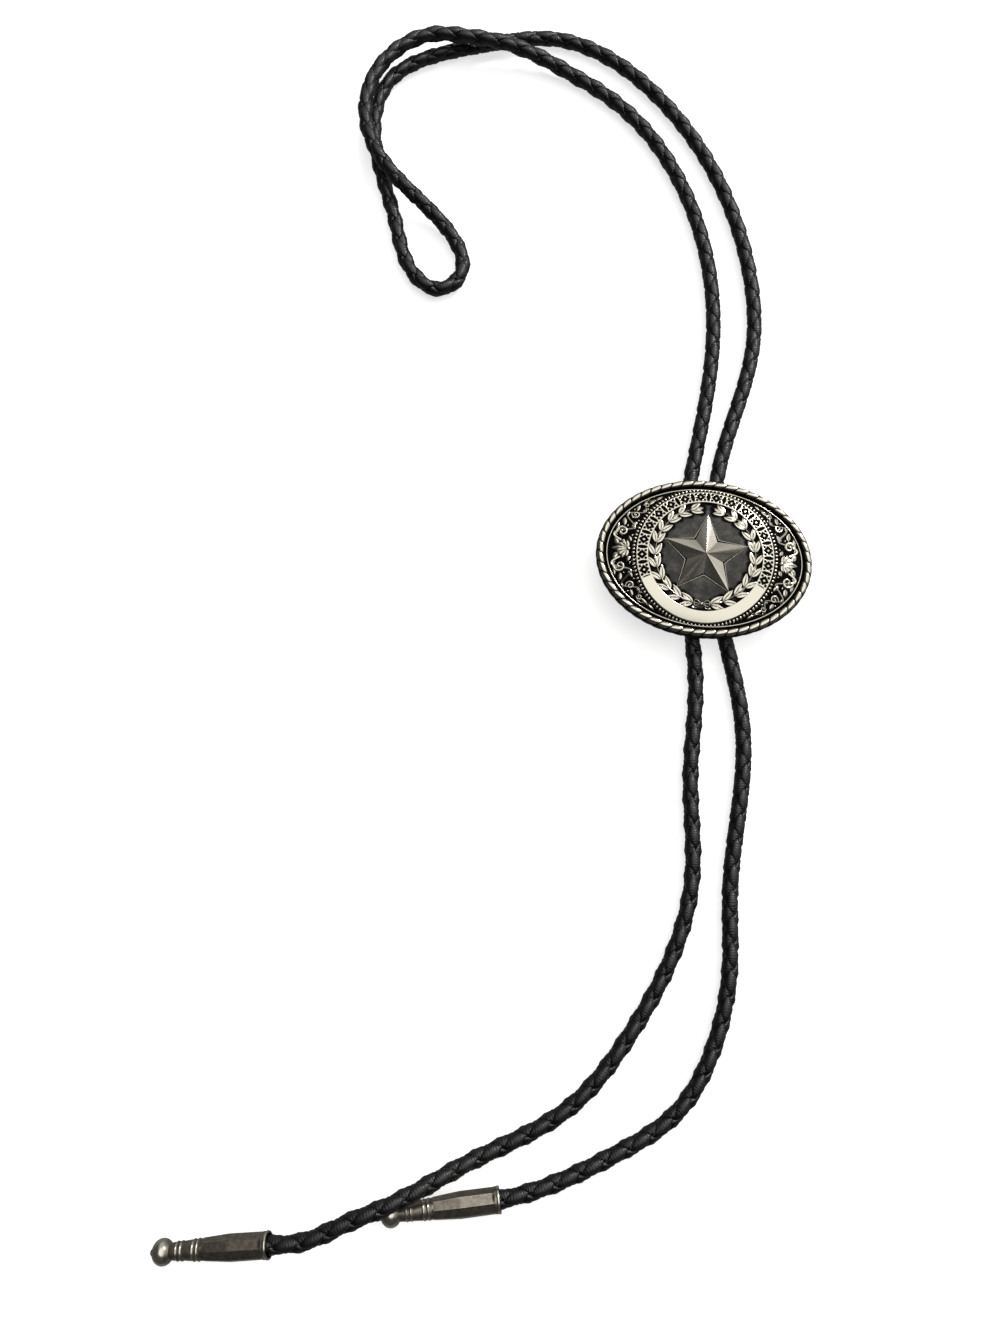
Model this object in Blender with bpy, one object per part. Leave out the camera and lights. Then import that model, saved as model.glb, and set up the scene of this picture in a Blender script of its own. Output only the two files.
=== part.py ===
"""A bolo tie lying on a flat surface: a cast oval medallion on a plain clip, a braided cord and two metal tips.

Metres, +Z up. The origin is on the surface under the middle of the medallion, +X runs along its
long axis and +Y points to the cord's neck loop.
"""

import math

import bmesh
import bpy
import numpy as np
from mathutils import Matrix, Vector

# Clearance between pieces that touch on the real tie
GAP = 0.0003

# Cord
CORD_RADIUS = 0.00205
CORD_LONGEST_STEP = 0.0155
CORD_SHORTEST_STEP = 0.0050
CORD_CHORD_DEPTH = 0.0005
CORD_HELD_STEP = 0.0060
CORD_HELD_REACH = 0.0090

# Clip: a plain block, with two round-bottomed channels that the medallion's back closes
CLIP_SHEET = 0.0008
CLIP_LENGTH = 0.0140
CORD_SPACING = 0.0070
CLIP_TURN = math.radians(6.3)
CLIP_EDGE_CHAMFER = 0.0006
CHANNEL_STEPS = 10

# Medallion outline and rope edge
MEDALLION_LENGTH = 0.0508
MEDALLION_WIDTH = 0.0386
EDGE_HEIGHT = 0.0034
ROPE_WIDTH = 0.00205
ROPE_STRANDS = 52
ROPE_STRAND_STEPS = 3
ROPE_LOBE_DEPTH = 0.00022
ROPE_TWIST = -1.1

# The rope's section from the back edge over the ridge to the inner foot: way in as a share of the
# rope's width, height as a share of the edge's, share of the groove's depth cut inward and downward
ROPE_SECTION = (
    (0.17, 0.00, 0.3, 0.0),
    (0.00, 0.25, 1.0, 0.0),
    (0.12, 0.65, 1.0, 0.0),
    (0.37, 0.90, 1.0, 1.0),
    (0.61, 1.00, 0.0, 1.0),
    (0.80, 0.90, 0.0, 1.0),
    (1.00, 0.70, 0.0, 0.0),
)

# Medallion face
DOME_RISE = 0.0026
BEAD_RING_WIDTH = 0.00105
BAND_WIDTH = 0.0029
BAND_RISE = 0.0005
BAND_WALL = 0.00015
FIELD_DIP = 0.0006
FIELD_RING_SHARES = (0.64, 0.26)

# Relief bodies reach this far below the face that they stand on
RELIEF_ROOT = 0.0004

# Laurel wreath
WREATH_INSET = 0.00155
WREATH_START = math.radians(-84.0)
WREATH_END = math.radians(72.0)
LEAF_PAIRS = 11
LEAF_LENGTH = 0.0023
LEAF_WIDTH = 0.0009
LEAF_WIDEST_SHARE = 0.45
LEAF_RISE = 0.0006
LEAF_EDGE_RISE = 0.00015
LEAF_SPREAD = math.radians(30.0)
LEAF_STEM_GAP = 0.0002

# Star
STAR_POINTS = 5
STAR_CLEARANCE = 0.0005
STAR_NOTCH_SHARE = 0.44
STAR_RISE = 0.0016
STAR_EDGE_RISE = 0.00045

# Scrolls of the side fields: ray in degrees, middle as a share of the way out across the field
# along that ray, size as a share of the field's width there, first turn in degrees, hand. The
# ridge's width is a share of the field's width too
SCROLL_TURNS = 1.15
SCROLL_STEPS = 14
SCROLL_TIGHTENING = 0.78
SCROLL_RIDGE_SHARE = 0.12
SCROLL_END_SHARE = 0.45
SCROLL_RISE = 0.0005
SCROLLS = (
    (12.2, 0.595, 0.29, -40.0, 1),
    (27.6, 0.509, 0.27, 20.0, -1),
)

# Tips: a barrel with flat sides and turned rings, a neck and a ball with a nub
TIP_WALL = 0.0002
TIP_BODY_LENGTH = 0.0204
TIP_FLATS = 8
NECK_LENGTH = 0.0011
NECK_RADIUS = 0.00168
BALL_RADIUS = 0.0027
BALL_HALF_LENGTH = 0.0023
BALL_STEPS = 7
NUB_RADIUS = 0.0007
NUB_LENGTH = 0.0004
NUB_TAPER = 0.6
SOCKET_DEPTH = 0.0065

# A tip's body: station as a share of its length from the mouth, radius as a share of the tip's,
# flat sides (1) or round (0)
LIP_SHARE = 1.015
TIP_STATIONS = (
    (0.000, 0.980, 0),
    (0.020, LIP_SHARE, 0),
    (0.044, 0.975, 0),
    (0.069, 0.990, 1),
    (0.417, 1.000, 1),
    (0.701, 0.820, 1),
    (0.721, 0.770, 0),
    (0.745, 0.820, 0),
    (0.770, 0.760, 0),
    (0.794, 0.805, 0),
    (0.819, 0.745, 0),
    (0.902, 0.680, 0),
    (0.926, 0.730, 0),
    (0.951, 0.675, 0),
    (0.975, 0.720, 0),
    (1.000, 0.650, 0),
)

# Where each tip's mouth lies, and which way its ball points from there. The right one lies on its
# lip, and the left one's mouth is held up by the cord
TIP_LEFT_MOUTH = (-0.0790, -0.1584)
TIP_LEFT_HEIGHT = 0.0060
TIP_LEFT_HEADING = math.radians(-168.0)
TIP_RIGHT_MOUTH = (-0.0322, -0.1451)
TIP_RIGHT_HEADING = math.radians(-166.5)

# Edges between faces that meet at more than this are drawn sharp
SHARP_ANGLE = math.radians(35.0)

# What follows from the sizes above
CHANNEL_RADIUS = CORD_RADIUS + GAP
CLIP_CORD_HEIGHT = CLIP_SHEET + CHANNEL_RADIUS
CLIP_TOP = CLIP_CORD_HEIGHT + CORD_RADIUS
MEDALLION_BACK = CLIP_TOP + GAP
ROPE_FOOT = MEDALLION_BACK + EDGE_HEIGHT * ROPE_SECTION[-1][1]
FACE_HALF_LENGTH = MEDALLION_LENGTH / 2 - ROPE_WIDTH
FACE_HALF_WIDTH = MEDALLION_WIDTH / 2 - ROPE_WIDTH
BAND_OUTER_RADIUS = FACE_HALF_WIDTH - BEAD_RING_WIDTH
BAND_INNER_RADIUS = BAND_OUTER_RADIUS - BAND_WIDTH
WREATH_RADIUS = BAND_INNER_RADIUS - WREATH_INSET
WREATH_REACH = LEAF_STEM_GAP + LEAF_LENGTH * math.sin(LEAF_SPREAD)
STAR_TIP_RADIUS = WREATH_RADIUS - WREATH_REACH - STAR_CLEARANCE
TIP_RADIUS = (CHANNEL_RADIUS + TIP_WALL) / math.cos(math.pi / TIP_FLATS)
TIP_RIGHT_HEIGHT = TIP_RADIUS * LIP_SHARE
BALL_START = -math.acos(NECK_RADIUS / BALL_RADIUS)
BALL_STOP = math.acos(NUB_RADIUS / BALL_RADIUS)
BALL_MIDDLE = TIP_BODY_LENGTH + NECK_LENGTH - BALL_HALF_LENGTH * math.sin(BALL_START)
RIGHT_BALL = (
    TIP_RIGHT_MOUTH[0] + BALL_MIDDLE * math.cos(TIP_RIGHT_HEADING),
    TIP_RIGHT_MOUTH[1] + BALL_MIDDLE * math.sin(TIP_RIGHT_HEADING),
)

# The cord's route, chosen by hand along its middle line, in millimetres: from the left tip's socket
# up through the clip, round the neck loop, back through the clip and down to the right tip
CORD_ROUTE_MM = (
    (-85.0, -159.7, 5.1), (-79.0, -158.4, 6.0), (-72.5, -157.0, 6.6), (-63.5, -152.2, 7.1),
    (-56.0, -148.3, 7.2), (-40.0, -138.7, 3.2), (-19.0, -125.0, 2.05), (-8.5, -110.5, 2.05),
    (3.5, -73.5, 2.05), (1.5, -51.5, 2.05), (1.0, -28.0, 2.05), (-2.7, -7.3, 3.15),
    (-3.5, -0.4, 3.15), (-4.3, 6.6, 3.15), (-3.5, 24.0, 2.2), (-1.0, 63.0, 2.05),
    (-14.0, 106.5, 2.05), (-28.0, 123.5, 2.05), (-43.5, 133.3, 2.2), (-65.0, 138.7, 5.9),
    (-72.5, 138.7, 6.5), (-80.5, 138.6, 6.5), (-93.0, 129.5, 6.2), (-96.0, 112.5, 6.3),
    (-87.5, 96.8, 6.2), (-68.2, 79.8, 2.05), (-66.0, 73.5, 2.05), (-67.8, 68.6, 2.05),
    (-72.0, 66.6, 2.05), (-77.0, 69.0, 2.05), (-84.8, 84.5, 2.05), (-94.3, 116.0, 2.05),
    (-92.5, 125.5, 2.05), (-68.0, 140.3, 2.05), (-47.5, 144.0, 2.05), (-35.5, 140.3, 2.05),
    (-22.0, 130.7, 2.05), (7.5, 77.5, 2.05), (9.2, 59.0, 2.05), (3.0, 25.5, 2.2),
    (2.7, 7.3, 3.15), (3.5, 0.4, 3.15), (4.3, -6.6, 3.15), (8.9, -23.0, 2.05),
    (13.0, -41.0, 2.05), (12.2, -76.0, 2.05), (13.2, -93.0, 2.05), (10.8, -109.5, 2.05),
    (4.0, -123.5, 2.05), (-8.0, -133.2, 2.05), (-32.2, -145.1, 2.8), (-38.0, -146.5, 2.8),
)
ROUTE_STEP = 0.0005
ROUTE_SMOOTHING = 9


def clear_scene():
    for obj in list(bpy.data.objects):
        bpy.data.objects.remove(obj, do_unlink=True)


def material(name, colour, metallic, roughness):
    made = bpy.data.materials.new(name)
    made.use_nodes = True
    shader = made.node_tree.nodes["Principled BSDF"]
    shader.inputs["Base Color"].default_value = (*colour, 1.0)
    shader.inputs["Metallic"].default_value = metallic
    shader.inputs["Roughness"].default_value = roughness
    made.diffuse_color = (*colour, 1.0)
    return made


def object_from(bm, name, surface):
    """A new object from a finished bmesh, with its faces turned outward."""
    bmesh.ops.recalc_face_normals(bm, faces=bm.faces)
    mesh = bpy.data.meshes.new(name)
    bm.to_mesh(mesh)
    bm.free()
    mesh.shade_smooth()
    mesh.set_sharp_from_angle(angle=SHARP_ANGLE)
    mesh.materials.append(surface)
    obj = bpy.data.objects.new(name, mesh)
    bpy.context.scene.collection.objects.link(obj)
    return obj


def stack_rings(bm, rings, first_point=None, last_point=None):
    """Quads between rings of equal count, with each end closed flat or by a fan to its middle point."""
    rows = [[bm.verts.new(point) for point in ring] for ring in rings]
    count = len(rows[0])
    for lower, upper in zip(rows, rows[1:]):
        for i in range(count):
            j = (i + 1) % count
            bm.faces.new((lower[i], lower[j], upper[j], upper[i]))
    for row, middle in ((rows[0], first_point), (rows[-1], last_point)):
        if middle is None:
            bm.faces.new(row)
            continue
        centre = bm.verts.new(middle)
        for i in range(count):
            bm.faces.new((row[i], row[(i + 1) % count], centre))


def outline_angles(count):
    """Ellipse parameters of points spaced evenly along the medallion's outline."""
    fine = np.linspace(0.0, 2.0 * math.pi, 2000)
    x = MEDALLION_LENGTH / 2 * np.cos(fine)
    y = MEDALLION_WIDTH / 2 * np.sin(fine)
    run = np.concatenate([[0.0], np.cumsum(np.hypot(np.diff(x), np.diff(y)))])
    return np.interp(np.arange(count) / count * run[-1], run, fine)


def dome(x, y):
    """Height of the domed face above the surface, before the bands are raised."""
    return ROPE_FOOT + DOME_RISE * (1.0 - (x / FACE_HALF_LENGTH) ** 2 - (y / FACE_HALF_WIDTH) ** 2)


def field(x, y):
    """Height of the sunk field inside the band."""
    dip = 1.0 - (x * x + y * y) / BAND_INNER_RADIUS**2
    return dome(x, y) - FIELD_DIP * max(dip, 0.0)


def rope_rings(angles):
    """Rings of the rope edge, with its grooves running obliquely from one ring to the next."""
    rings = []
    for step, (way_in, height, inward, downward) in enumerate(ROPE_SECTION):
        phase = np.arange(len(angles)) / ROPE_STRAND_STEPS + ROPE_TWIST * step / (len(ROPE_SECTION) - 1)
        groove = ROPE_LOBE_DEPTH * (1.0 - np.abs(np.sin(math.pi * phase)))
        inset = way_in * ROPE_WIDTH + inward * groove
        x = (MEDALLION_LENGTH / 2 - inset) * np.cos(angles)
        y = (MEDALLION_WIDTH / 2 - inset) * np.sin(angles)
        z = MEDALLION_BACK + height * EDGE_HEIGHT - downward * groove
        rings.append(list(zip(x.tolist(), y.tolist(), z.tolist())))
    return rings


def circle_ring(angles, radius, height_at, rise=0.0):
    """A ring of the round bands, with its points on the same rays as the outline's."""
    ring = []
    for angle in angles:
        ray = math.atan2(MEDALLION_WIDTH * math.sin(angle), MEDALLION_LENGTH * math.cos(angle))
        x = radius * math.cos(ray)
        y = radius * math.sin(ray)
        ring.append((x, y, height_at(x, y) + rise))
    return ring


def star_body(bm):
    """The ridged star: two facets to each arm, rooted below the field."""
    rim = []
    root = []
    for i in range(2 * STAR_POINTS):
        radius = STAR_TIP_RADIUS * (STAR_NOTCH_SHARE if i % 2 else 1.0)
        angle = math.pi / 2 + i * math.pi / STAR_POINTS
        x = radius * math.cos(angle)
        y = radius * math.sin(angle)
        rim.append((x, y, field(x, y) + STAR_EDGE_RISE))
        root.append((x, y, field(x, y) - RELIEF_ROOT))
    floor = field(0.0, 0.0)
    stack_rings(bm, [root, rim], (0.0, 0.0, floor - RELIEF_ROOT), (0.0, 0.0, floor + STAR_RISE))


def leaf_body(bm, x, y, heading):
    """One pointed leaf that rises to its middle, rooted below the field."""
    along = Vector((math.cos(heading), math.sin(heading)))
    across = Vector((-along.y, along.x))
    base = Vector((x, y))
    middle = base + along * LEAF_LENGTH * LEAF_WIDEST_SHARE
    plan = (
        base,
        middle - across * LEAF_WIDTH / 2,
        base + along * LEAF_LENGTH,
        middle + across * LEAF_WIDTH / 2,
    )
    floor = field(middle.x, middle.y)
    root = [(*point, floor - RELIEF_ROOT) for point in plan]
    edge = [(*point, floor + LEAF_EDGE_RISE) for point in plan]
    stack_rings(bm, [root, edge], None, (*middle, floor + LEAF_RISE))


def wreath_bodies(bm):
    """Pairs of leaves up both sides of the field, mirrored about the middle."""
    for pair in range(LEAF_PAIRS):
        angle = WREATH_START + (WREATH_END - WREATH_START) * pair / (LEAF_PAIRS - 1)
        for side in (1, -1):
            radius = WREATH_RADIUS + side * LEAF_STEM_GAP
            x = radius * math.cos(angle)
            y = radius * math.sin(angle)
            heading = angle + math.pi / 2 - side * LEAF_SPREAD
            leaf_body(bm, x, y, heading)
            leaf_body(bm, -x, y, math.pi - heading)


def scroll_ridge(ray, share, size_share, turn, hand):
    """Points along a spiral that tightens to its middle, placed between the band and the rope,
    and half the ridge's width."""
    ray = math.radians(ray)
    reach_out = math.hypot(math.cos(ray) / FACE_HALF_LENGTH, math.sin(ray) / FACE_HALF_WIDTH)
    width = 1.0 / reach_out - BAND_OUTER_RADIUS
    middle = BAND_OUTER_RADIUS + share * width
    ridge = []
    for step in range(SCROLL_STEPS):
        way = step / (SCROLL_STEPS - 1)
        angle = math.radians(turn) + hand * 2.0 * math.pi * SCROLL_TURNS * way
        reach = size_share * width * (1.0 - SCROLL_TIGHTENING * way)
        ridge.append((middle * math.cos(ray) + reach * math.cos(angle),
                      middle * math.sin(ray) + reach * math.sin(angle)))
    return ridge, SCROLL_RIDGE_SHARE * width / 2


def scroll_body(bm, ridge, half_width, mirror_x, mirror_y):
    """A raised curl: a three-sided ridge swept along the spiral, mirrored into its quarter."""
    line = [Vector((mirror_x * x, mirror_y * y)) for x, y in ridge]
    rings = []
    for step, point in enumerate(line):
        along = (line[min(step + 1, SCROLL_STEPS - 1)] - line[max(step - 1, 0)]).normalized()
        half = half_width * (SCROLL_END_SHARE if step in (0, SCROLL_STEPS - 1) else 1.0)
        side = Vector((-along.y, along.x)) * half
        floor = dome(point.x, point.y)
        rings.append((
            (*(point + side), floor - RELIEF_ROOT),
            (*(point - side), floor - RELIEF_ROOT),
            (*point, floor + SCROLL_RISE),
        ))
    stack_rings(bm, rings)


def relief(surface):
    """All the raised ornament, as separate small bodies in one mesh for the union."""
    bm = bmesh.new()
    star_body(bm)
    wreath_bodies(bm)
    for row in SCROLLS:
        ridge, half_width = scroll_ridge(*row)
        for mirror_x in (1, -1):
            for mirror_y in (1, -1):
                scroll_body(bm, ridge, half_width, mirror_x, mirror_y)
    obj = object_from(bm, "relief_guide", surface)
    obj.hide_render = True
    obj.display_type = "WIRE"
    return obj


def make_medallion(surface):
    """The cast plate with its rope edge and polished band, joined with the star, leaves and scrolls."""
    angles = outline_angles(ROPE_STRANDS * ROPE_STRAND_STEPS)
    rings = rope_rings(angles)
    rings.append(circle_ring(angles, BAND_OUTER_RADIUS + BAND_WALL, dome))
    rings.append(circle_ring(angles, BAND_OUTER_RADIUS, dome, BAND_RISE))
    rings.append(circle_ring(angles, BAND_INNER_RADIUS, dome, BAND_RISE))
    rings.append(circle_ring(angles, BAND_INNER_RADIUS - BAND_WALL, field))
    for share in FIELD_RING_SHARES:
        rings.append(circle_ring(angles, share * BAND_INNER_RADIUS, field))
    bm = bmesh.new()
    stack_rings(bm, rings, (0.0, 0.0, MEDALLION_BACK), (0.0, 0.0, field(0.0, 0.0)))
    obj = object_from(bm, "medallion", surface)
    union = obj.modifiers.new("raised ornament", "BOOLEAN")
    union.operation = "UNION"
    union.solver = "EXACT"
    union.object = relief(surface)
    return obj


def make_clip(surface):
    """The one-piece clip: an extruded block whose two channels leave a small gap round the cord."""
    half = CORD_SPACING / 2 + CHANNEL_RADIUS + CLIP_SHEET
    section = [(-half, CLIP_EDGE_CHAMFER), (-half + CLIP_EDGE_CHAMFER, 0.0)]
    section += [(half - CLIP_EDGE_CHAMFER, 0.0), (half, CLIP_EDGE_CHAMFER), (half, CLIP_TOP)]
    for middle in (CORD_SPACING / 2, -CORD_SPACING / 2):
        section.append((middle + CHANNEL_RADIUS, CLIP_TOP))
        for step in range(CHANNEL_STEPS + 1):
            angle = -math.pi * step / CHANNEL_STEPS
            x = middle + CHANNEL_RADIUS * math.cos(angle)
            section.append((x, CLIP_CORD_HEIGHT + CHANNEL_RADIUS * math.sin(angle)))
        section.append((middle - CHANNEL_RADIUS, CLIP_TOP))
    section.append((-half, CLIP_TOP))
    bm = bmesh.new()
    ends = [[(x, side * CLIP_LENGTH / 2, z) for x, z in section] for side in (-1, 1)]
    stack_rings(bm, ends)
    obj = object_from(bm, "cord_clip", surface)
    obj.rotation_euler.z = CLIP_TURN
    return obj


def tip_ring(station, radius, flat):
    """A ring round the tip's axis. A flat one has a point at each side's middle too."""
    ring = []
    for i in range(2 * TIP_FLATS):
        angle = math.pi * i / TIP_FLATS
        reach = radius * (math.cos(math.pi / TIP_FLATS) if flat and i % 2 else 1.0)
        ring.append((station, reach * math.cos(angle), reach * math.sin(angle)))
    return ring


def tip_rings():
    """Rings along a tip: the socket's floor and mouth, the turned body, the ball and its nub."""
    rings = [tip_ring(SOCKET_DEPTH, CHANNEL_RADIUS, 0), tip_ring(0.0, CHANNEL_RADIUS, 0)]
    for station, radius, flat in TIP_STATIONS:
        rings.append(tip_ring(station * TIP_BODY_LENGTH, radius * TIP_RADIUS, flat))
    for step in range(BALL_STEPS + 1):
        angle = BALL_START + (BALL_STOP - BALL_START) * step / BALL_STEPS
        station = BALL_MIDDLE + BALL_HALF_LENGTH * math.sin(angle)
        rings.append(tip_ring(station, BALL_RADIUS * math.cos(angle), 0))
    rings.append(tip_ring(BALL_MIDDLE + BALL_HALF_LENGTH + NUB_LENGTH, NUB_RADIUS * NUB_TAPER, 0))
    return rings


def make_tip(name, surface, mouth, height, heading):
    """A closed tip whose local +X runs from its mouth to its ball, dipped until the ball rests."""
    bm = bmesh.new()
    stack_rings(bm, tip_rings())
    obj = object_from(bm, name, surface)
    dip = math.asin((height - BALL_RADIUS) / BALL_MIDDLE)
    turn = Matrix.Rotation(heading, 4, "Z") @ Matrix.Rotation(dip, 4, "Y")
    obj.matrix_world = Matrix.Translation((*mouth, height)) @ turn
    return obj


def smooth_curve(points, spacing):
    """Points at the given spacing on the natural cubic spline through the route's points."""
    route = np.asarray(points, float)
    knots = np.concatenate([[0.0], np.cumsum(np.linalg.norm(np.diff(route, axis=0), axis=1))])
    gaps = np.diff(knots)
    slopes = np.diff(route, axis=0) / gaps[:, None]
    system = np.eye(len(route))
    right = np.zeros_like(route)
    for i in range(1, len(route) - 1):
        system[i, i - 1 : i + 2] = gaps[i - 1], 2.0 * (gaps[i - 1] + gaps[i]), gaps[i]
        right[i] = 6.0 * (slopes[i] - slopes[i - 1])
    bend = np.linalg.solve(system, right)
    at = np.linspace(0.0, knots[-1], int(knots[-1] / spacing) + 1)
    k = np.clip(np.searchsorted(knots, at, side="right") - 1, 0, len(gaps) - 1)
    d = (at - knots[k])[:, None]
    h = gaps[k][:, None]
    linear = slopes[k] - h * (2.0 * bend[k] + bend[k + 1]) / 6.0
    return route[k] + d * linear + d**2 * bend[k] / 2.0 + d**3 * (bend[k + 1] - bend[k]) / (6.0 * h)


def tube_points(line):
    """Points along the fine line: close where it bends or meets a piece, far apart elsewhere."""
    steps = np.diff(line, axis=0)
    lengths = np.linalg.norm(steps, axis=1)
    headings = steps / lengths[:, None]
    turns = np.concatenate([[0.0], np.linalg.norm(np.diff(headings, axis=0), axis=1)])
    window = np.ones(ROUTE_SMOOTHING) / ROUTE_SMOOTHING
    sharpness = np.convolve(turns / lengths, window, mode="same")
    chord = np.sqrt(8.0 * CORD_CHORD_DEPTH / np.maximum(sharpness, 1.0))
    spacing = np.clip(chord, CORD_SHORTEST_STEP, CORD_LONGEST_STEP)
    for piece in ((0.0, 0.0), TIP_LEFT_MOUTH, TIP_RIGHT_MOUTH, RIGHT_BALL):
        near = np.linalg.norm(line[1:, :2] - piece, axis=1) < CORD_HELD_REACH
        spacing[near] = np.minimum(spacing[near], CORD_HELD_STEP)
    weight = np.concatenate([[0.0], np.cumsum(lengths / spacing)])
    at = np.linspace(0.0, weight[-1], int(round(weight[-1])) + 1)
    return np.stack([np.interp(at, weight, line[:, axis]) for axis in range(3)], axis=1)


def make_cord(surface):
    """The cord as one round tube, never lower than the surface."""
    line = smooth_curve(np.array(CORD_ROUTE_MM) / 1000.0, ROUTE_STEP)
    line[:, 2] = np.maximum(line[:, 2], CORD_RADIUS)
    points = tube_points(line)
    data = bpy.data.curves.new("cord", "CURVE")
    data.dimensions = "3D"
    spline = data.splines.new("POLY")
    spline.points.add(len(points) - 1)
    for point, place in zip(spline.points, points):
        point.co = (*place, 1.0)
    data.bevel_depth = CORD_RADIUS
    data.bevel_resolution = 3
    data.use_fill_caps = True
    data.materials.append(surface)
    obj = bpy.data.objects.new("cord", data)
    bpy.context.scene.collection.objects.link(obj)
    return obj


def main():
    clear_scene()
    silver = material("antique_silver", (0.66, 0.63, 0.55), 1.0, 0.32)
    nickel = material("dark_nickel", (0.36, 0.34, 0.30), 1.0, 0.35)
    steel = material("clip_steel", (0.60, 0.60, 0.60), 1.0, 0.40)
    leather = material("black_leather", (0.020, 0.020, 0.021), 0.0, 0.50)
    make_medallion(silver)
    make_clip(steel)
    make_cord(leather)
    make_tip("tip_left", nickel, TIP_LEFT_MOUTH, TIP_LEFT_HEIGHT, TIP_LEFT_HEADING)
    make_tip("tip_right", nickel, TIP_RIGHT_MOUTH, TIP_RIGHT_HEIGHT, TIP_RIGHT_HEADING)


main()
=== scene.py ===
"""Bolo tie: a cast oval slide with a star, a plaited leather cord and two turned metal tips.

The sizes that may be changed stand in the property groups. Each operator makes one piece, or one
group of like pieces, as surfaces worked out on grids, and gives it its finish.
"""

import math

import bpy
import numpy as np
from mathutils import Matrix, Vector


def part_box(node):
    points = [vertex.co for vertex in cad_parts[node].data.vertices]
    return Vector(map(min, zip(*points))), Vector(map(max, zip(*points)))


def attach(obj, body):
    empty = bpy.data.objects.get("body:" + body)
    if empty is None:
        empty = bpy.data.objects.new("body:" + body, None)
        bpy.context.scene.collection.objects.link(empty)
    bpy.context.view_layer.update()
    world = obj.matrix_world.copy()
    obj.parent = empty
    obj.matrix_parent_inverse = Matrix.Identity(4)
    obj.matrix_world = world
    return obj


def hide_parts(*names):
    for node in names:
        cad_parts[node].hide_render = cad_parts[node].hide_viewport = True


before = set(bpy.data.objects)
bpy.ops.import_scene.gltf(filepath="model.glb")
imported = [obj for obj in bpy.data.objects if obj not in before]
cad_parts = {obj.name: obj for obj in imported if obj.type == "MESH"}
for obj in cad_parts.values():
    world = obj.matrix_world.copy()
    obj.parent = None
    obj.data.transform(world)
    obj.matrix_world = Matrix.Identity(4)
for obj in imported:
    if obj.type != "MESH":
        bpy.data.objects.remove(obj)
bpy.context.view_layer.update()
SLIDE_LOW, SLIDE_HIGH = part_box("medallion")

bl_info = {
    "name": "Bolo Tie",
    "version": (1, 0, 0),
    "blender": (4, 5, 0),
    "location": "View3D > Sidebar > Bolo Tie",
    "description": "Makes a bolo tie's slide, plaited cord, tips and clip, and its stage",
    "category": "Add Mesh",
}

MM = 0.001
TURN = 2.0 * math.pi

# Lengths are in metres unless a comment says otherwise

CORD_ROUTE_MM = (
    (-85.0, -159.7, 5.1), (-79.0, -158.4, 6.0), (-72.5, -157.0, 6.6), (-63.5, -152.2, 7.1),
    (-56.0, -148.3, 7.2), (-40.0, -138.7, 3.2), (-19.0, -125.0, 2.05), (-8.5, -110.5, 2.05),
    (3.5, -73.5, 2.05), (1.5, -51.5, 2.05), (1.0, -28.0, 2.05), (-2.7, -7.3, 3.15),
    (-3.5, -0.4, 3.15), (-4.3, 6.6, 3.15), (-3.5, 24.0, 2.2), (-1.0, 63.0, 2.05),
    (-14.0, 106.5, 2.05), (-28.0, 123.5, 2.05), (-43.5, 133.3, 2.2), (-65.0, 138.7, 5.9),
    (-72.5, 138.7, 6.5), (-80.5, 138.6, 6.5), (-93.0, 129.5, 6.2), (-96.0, 112.5, 6.3),
    (-87.5, 96.8, 6.2), (-68.2, 79.8, 2.05), (-66.0, 73.5, 2.05), (-67.8, 68.6, 2.05),
    (-72.0, 66.6, 2.05), (-77.0, 69.0, 2.05), (-84.8, 84.5, 2.05), (-94.3, 116.0, 2.05),
    (-92.5, 125.5, 2.05), (-68.0, 140.3, 2.05), (-47.5, 144.0, 2.05), (-35.5, 140.3, 2.05),
    (-22.0, 130.7, 2.05), (7.5, 77.5, 2.05), (9.2, 59.0, 2.05), (3.0, 25.5, 2.2),
    (2.7, 7.3, 3.15), (3.5, 0.4, 3.15), (4.3, -6.6, 3.15), (8.9, -23.0, 2.05),
    (13.0, -41.0, 2.05), (12.2, -76.0, 2.05), (13.2, -93.0, 2.05), (10.8, -109.5, 2.05),
    (4.0, -123.5, 2.05), (-8.0, -133.2, 2.05), (-32.2, -145.1, 2.8), (-38.0, -146.5, 2.8),
)
CORD_SPACING = 0.0005
CORE_RADIUS = 0.0010
# How far the plait has turned about the cord's middle line: share of the length, degrees
PLAIT_TURNS = (
    (0.0, 45.0), (0.10, 52.0), (0.19, 55.0), (0.25, 75.0), (0.42, 85.0), (0.47, 40.0), (0.53, 30.0),
    (0.56, 58.0), (0.60, 58.0), (0.65, 18.0), (0.72, 8.0), (0.86, 10.0), (0.92, 30.0), (1.0, 45.0),
)

# Mouth of each tip: x, y, height and heading
TIP_LEFT = (-0.0790, -0.1584, 0.0060, math.radians(-168.0))
TIP_RIGHT = (-0.0322, -0.1451, 0.0028, math.radians(-166.5))
# A tip's body: share of its length from the mouth, radius as a share of the tip's
TIP_PROFILE = (
    (0.000, 0.985), (0.050, 0.985), (0.417, 1.000), (0.690, 0.835), (0.705, 0.775), (0.730, 0.765),
    (0.820, 0.740), (0.905, 0.680), (0.950, 0.675), (1.000, 0.650),
)
# Turned ridges on it: share of the length, height as a share of the radius, half width as a share
TIP_RIDGES = (
    (0.014, 0.035, 0.011), (0.745, 0.060, 0.0085), (0.794, 0.058, 0.0085), (0.926, 0.055, 0.0080),
    (0.975, 0.060, 0.0080),
)
TIP_AROUND = 96
TIP_FLATS = 8
NECK_RADIUS = 0.00168
NUB_LENGTH = 0.0004

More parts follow.
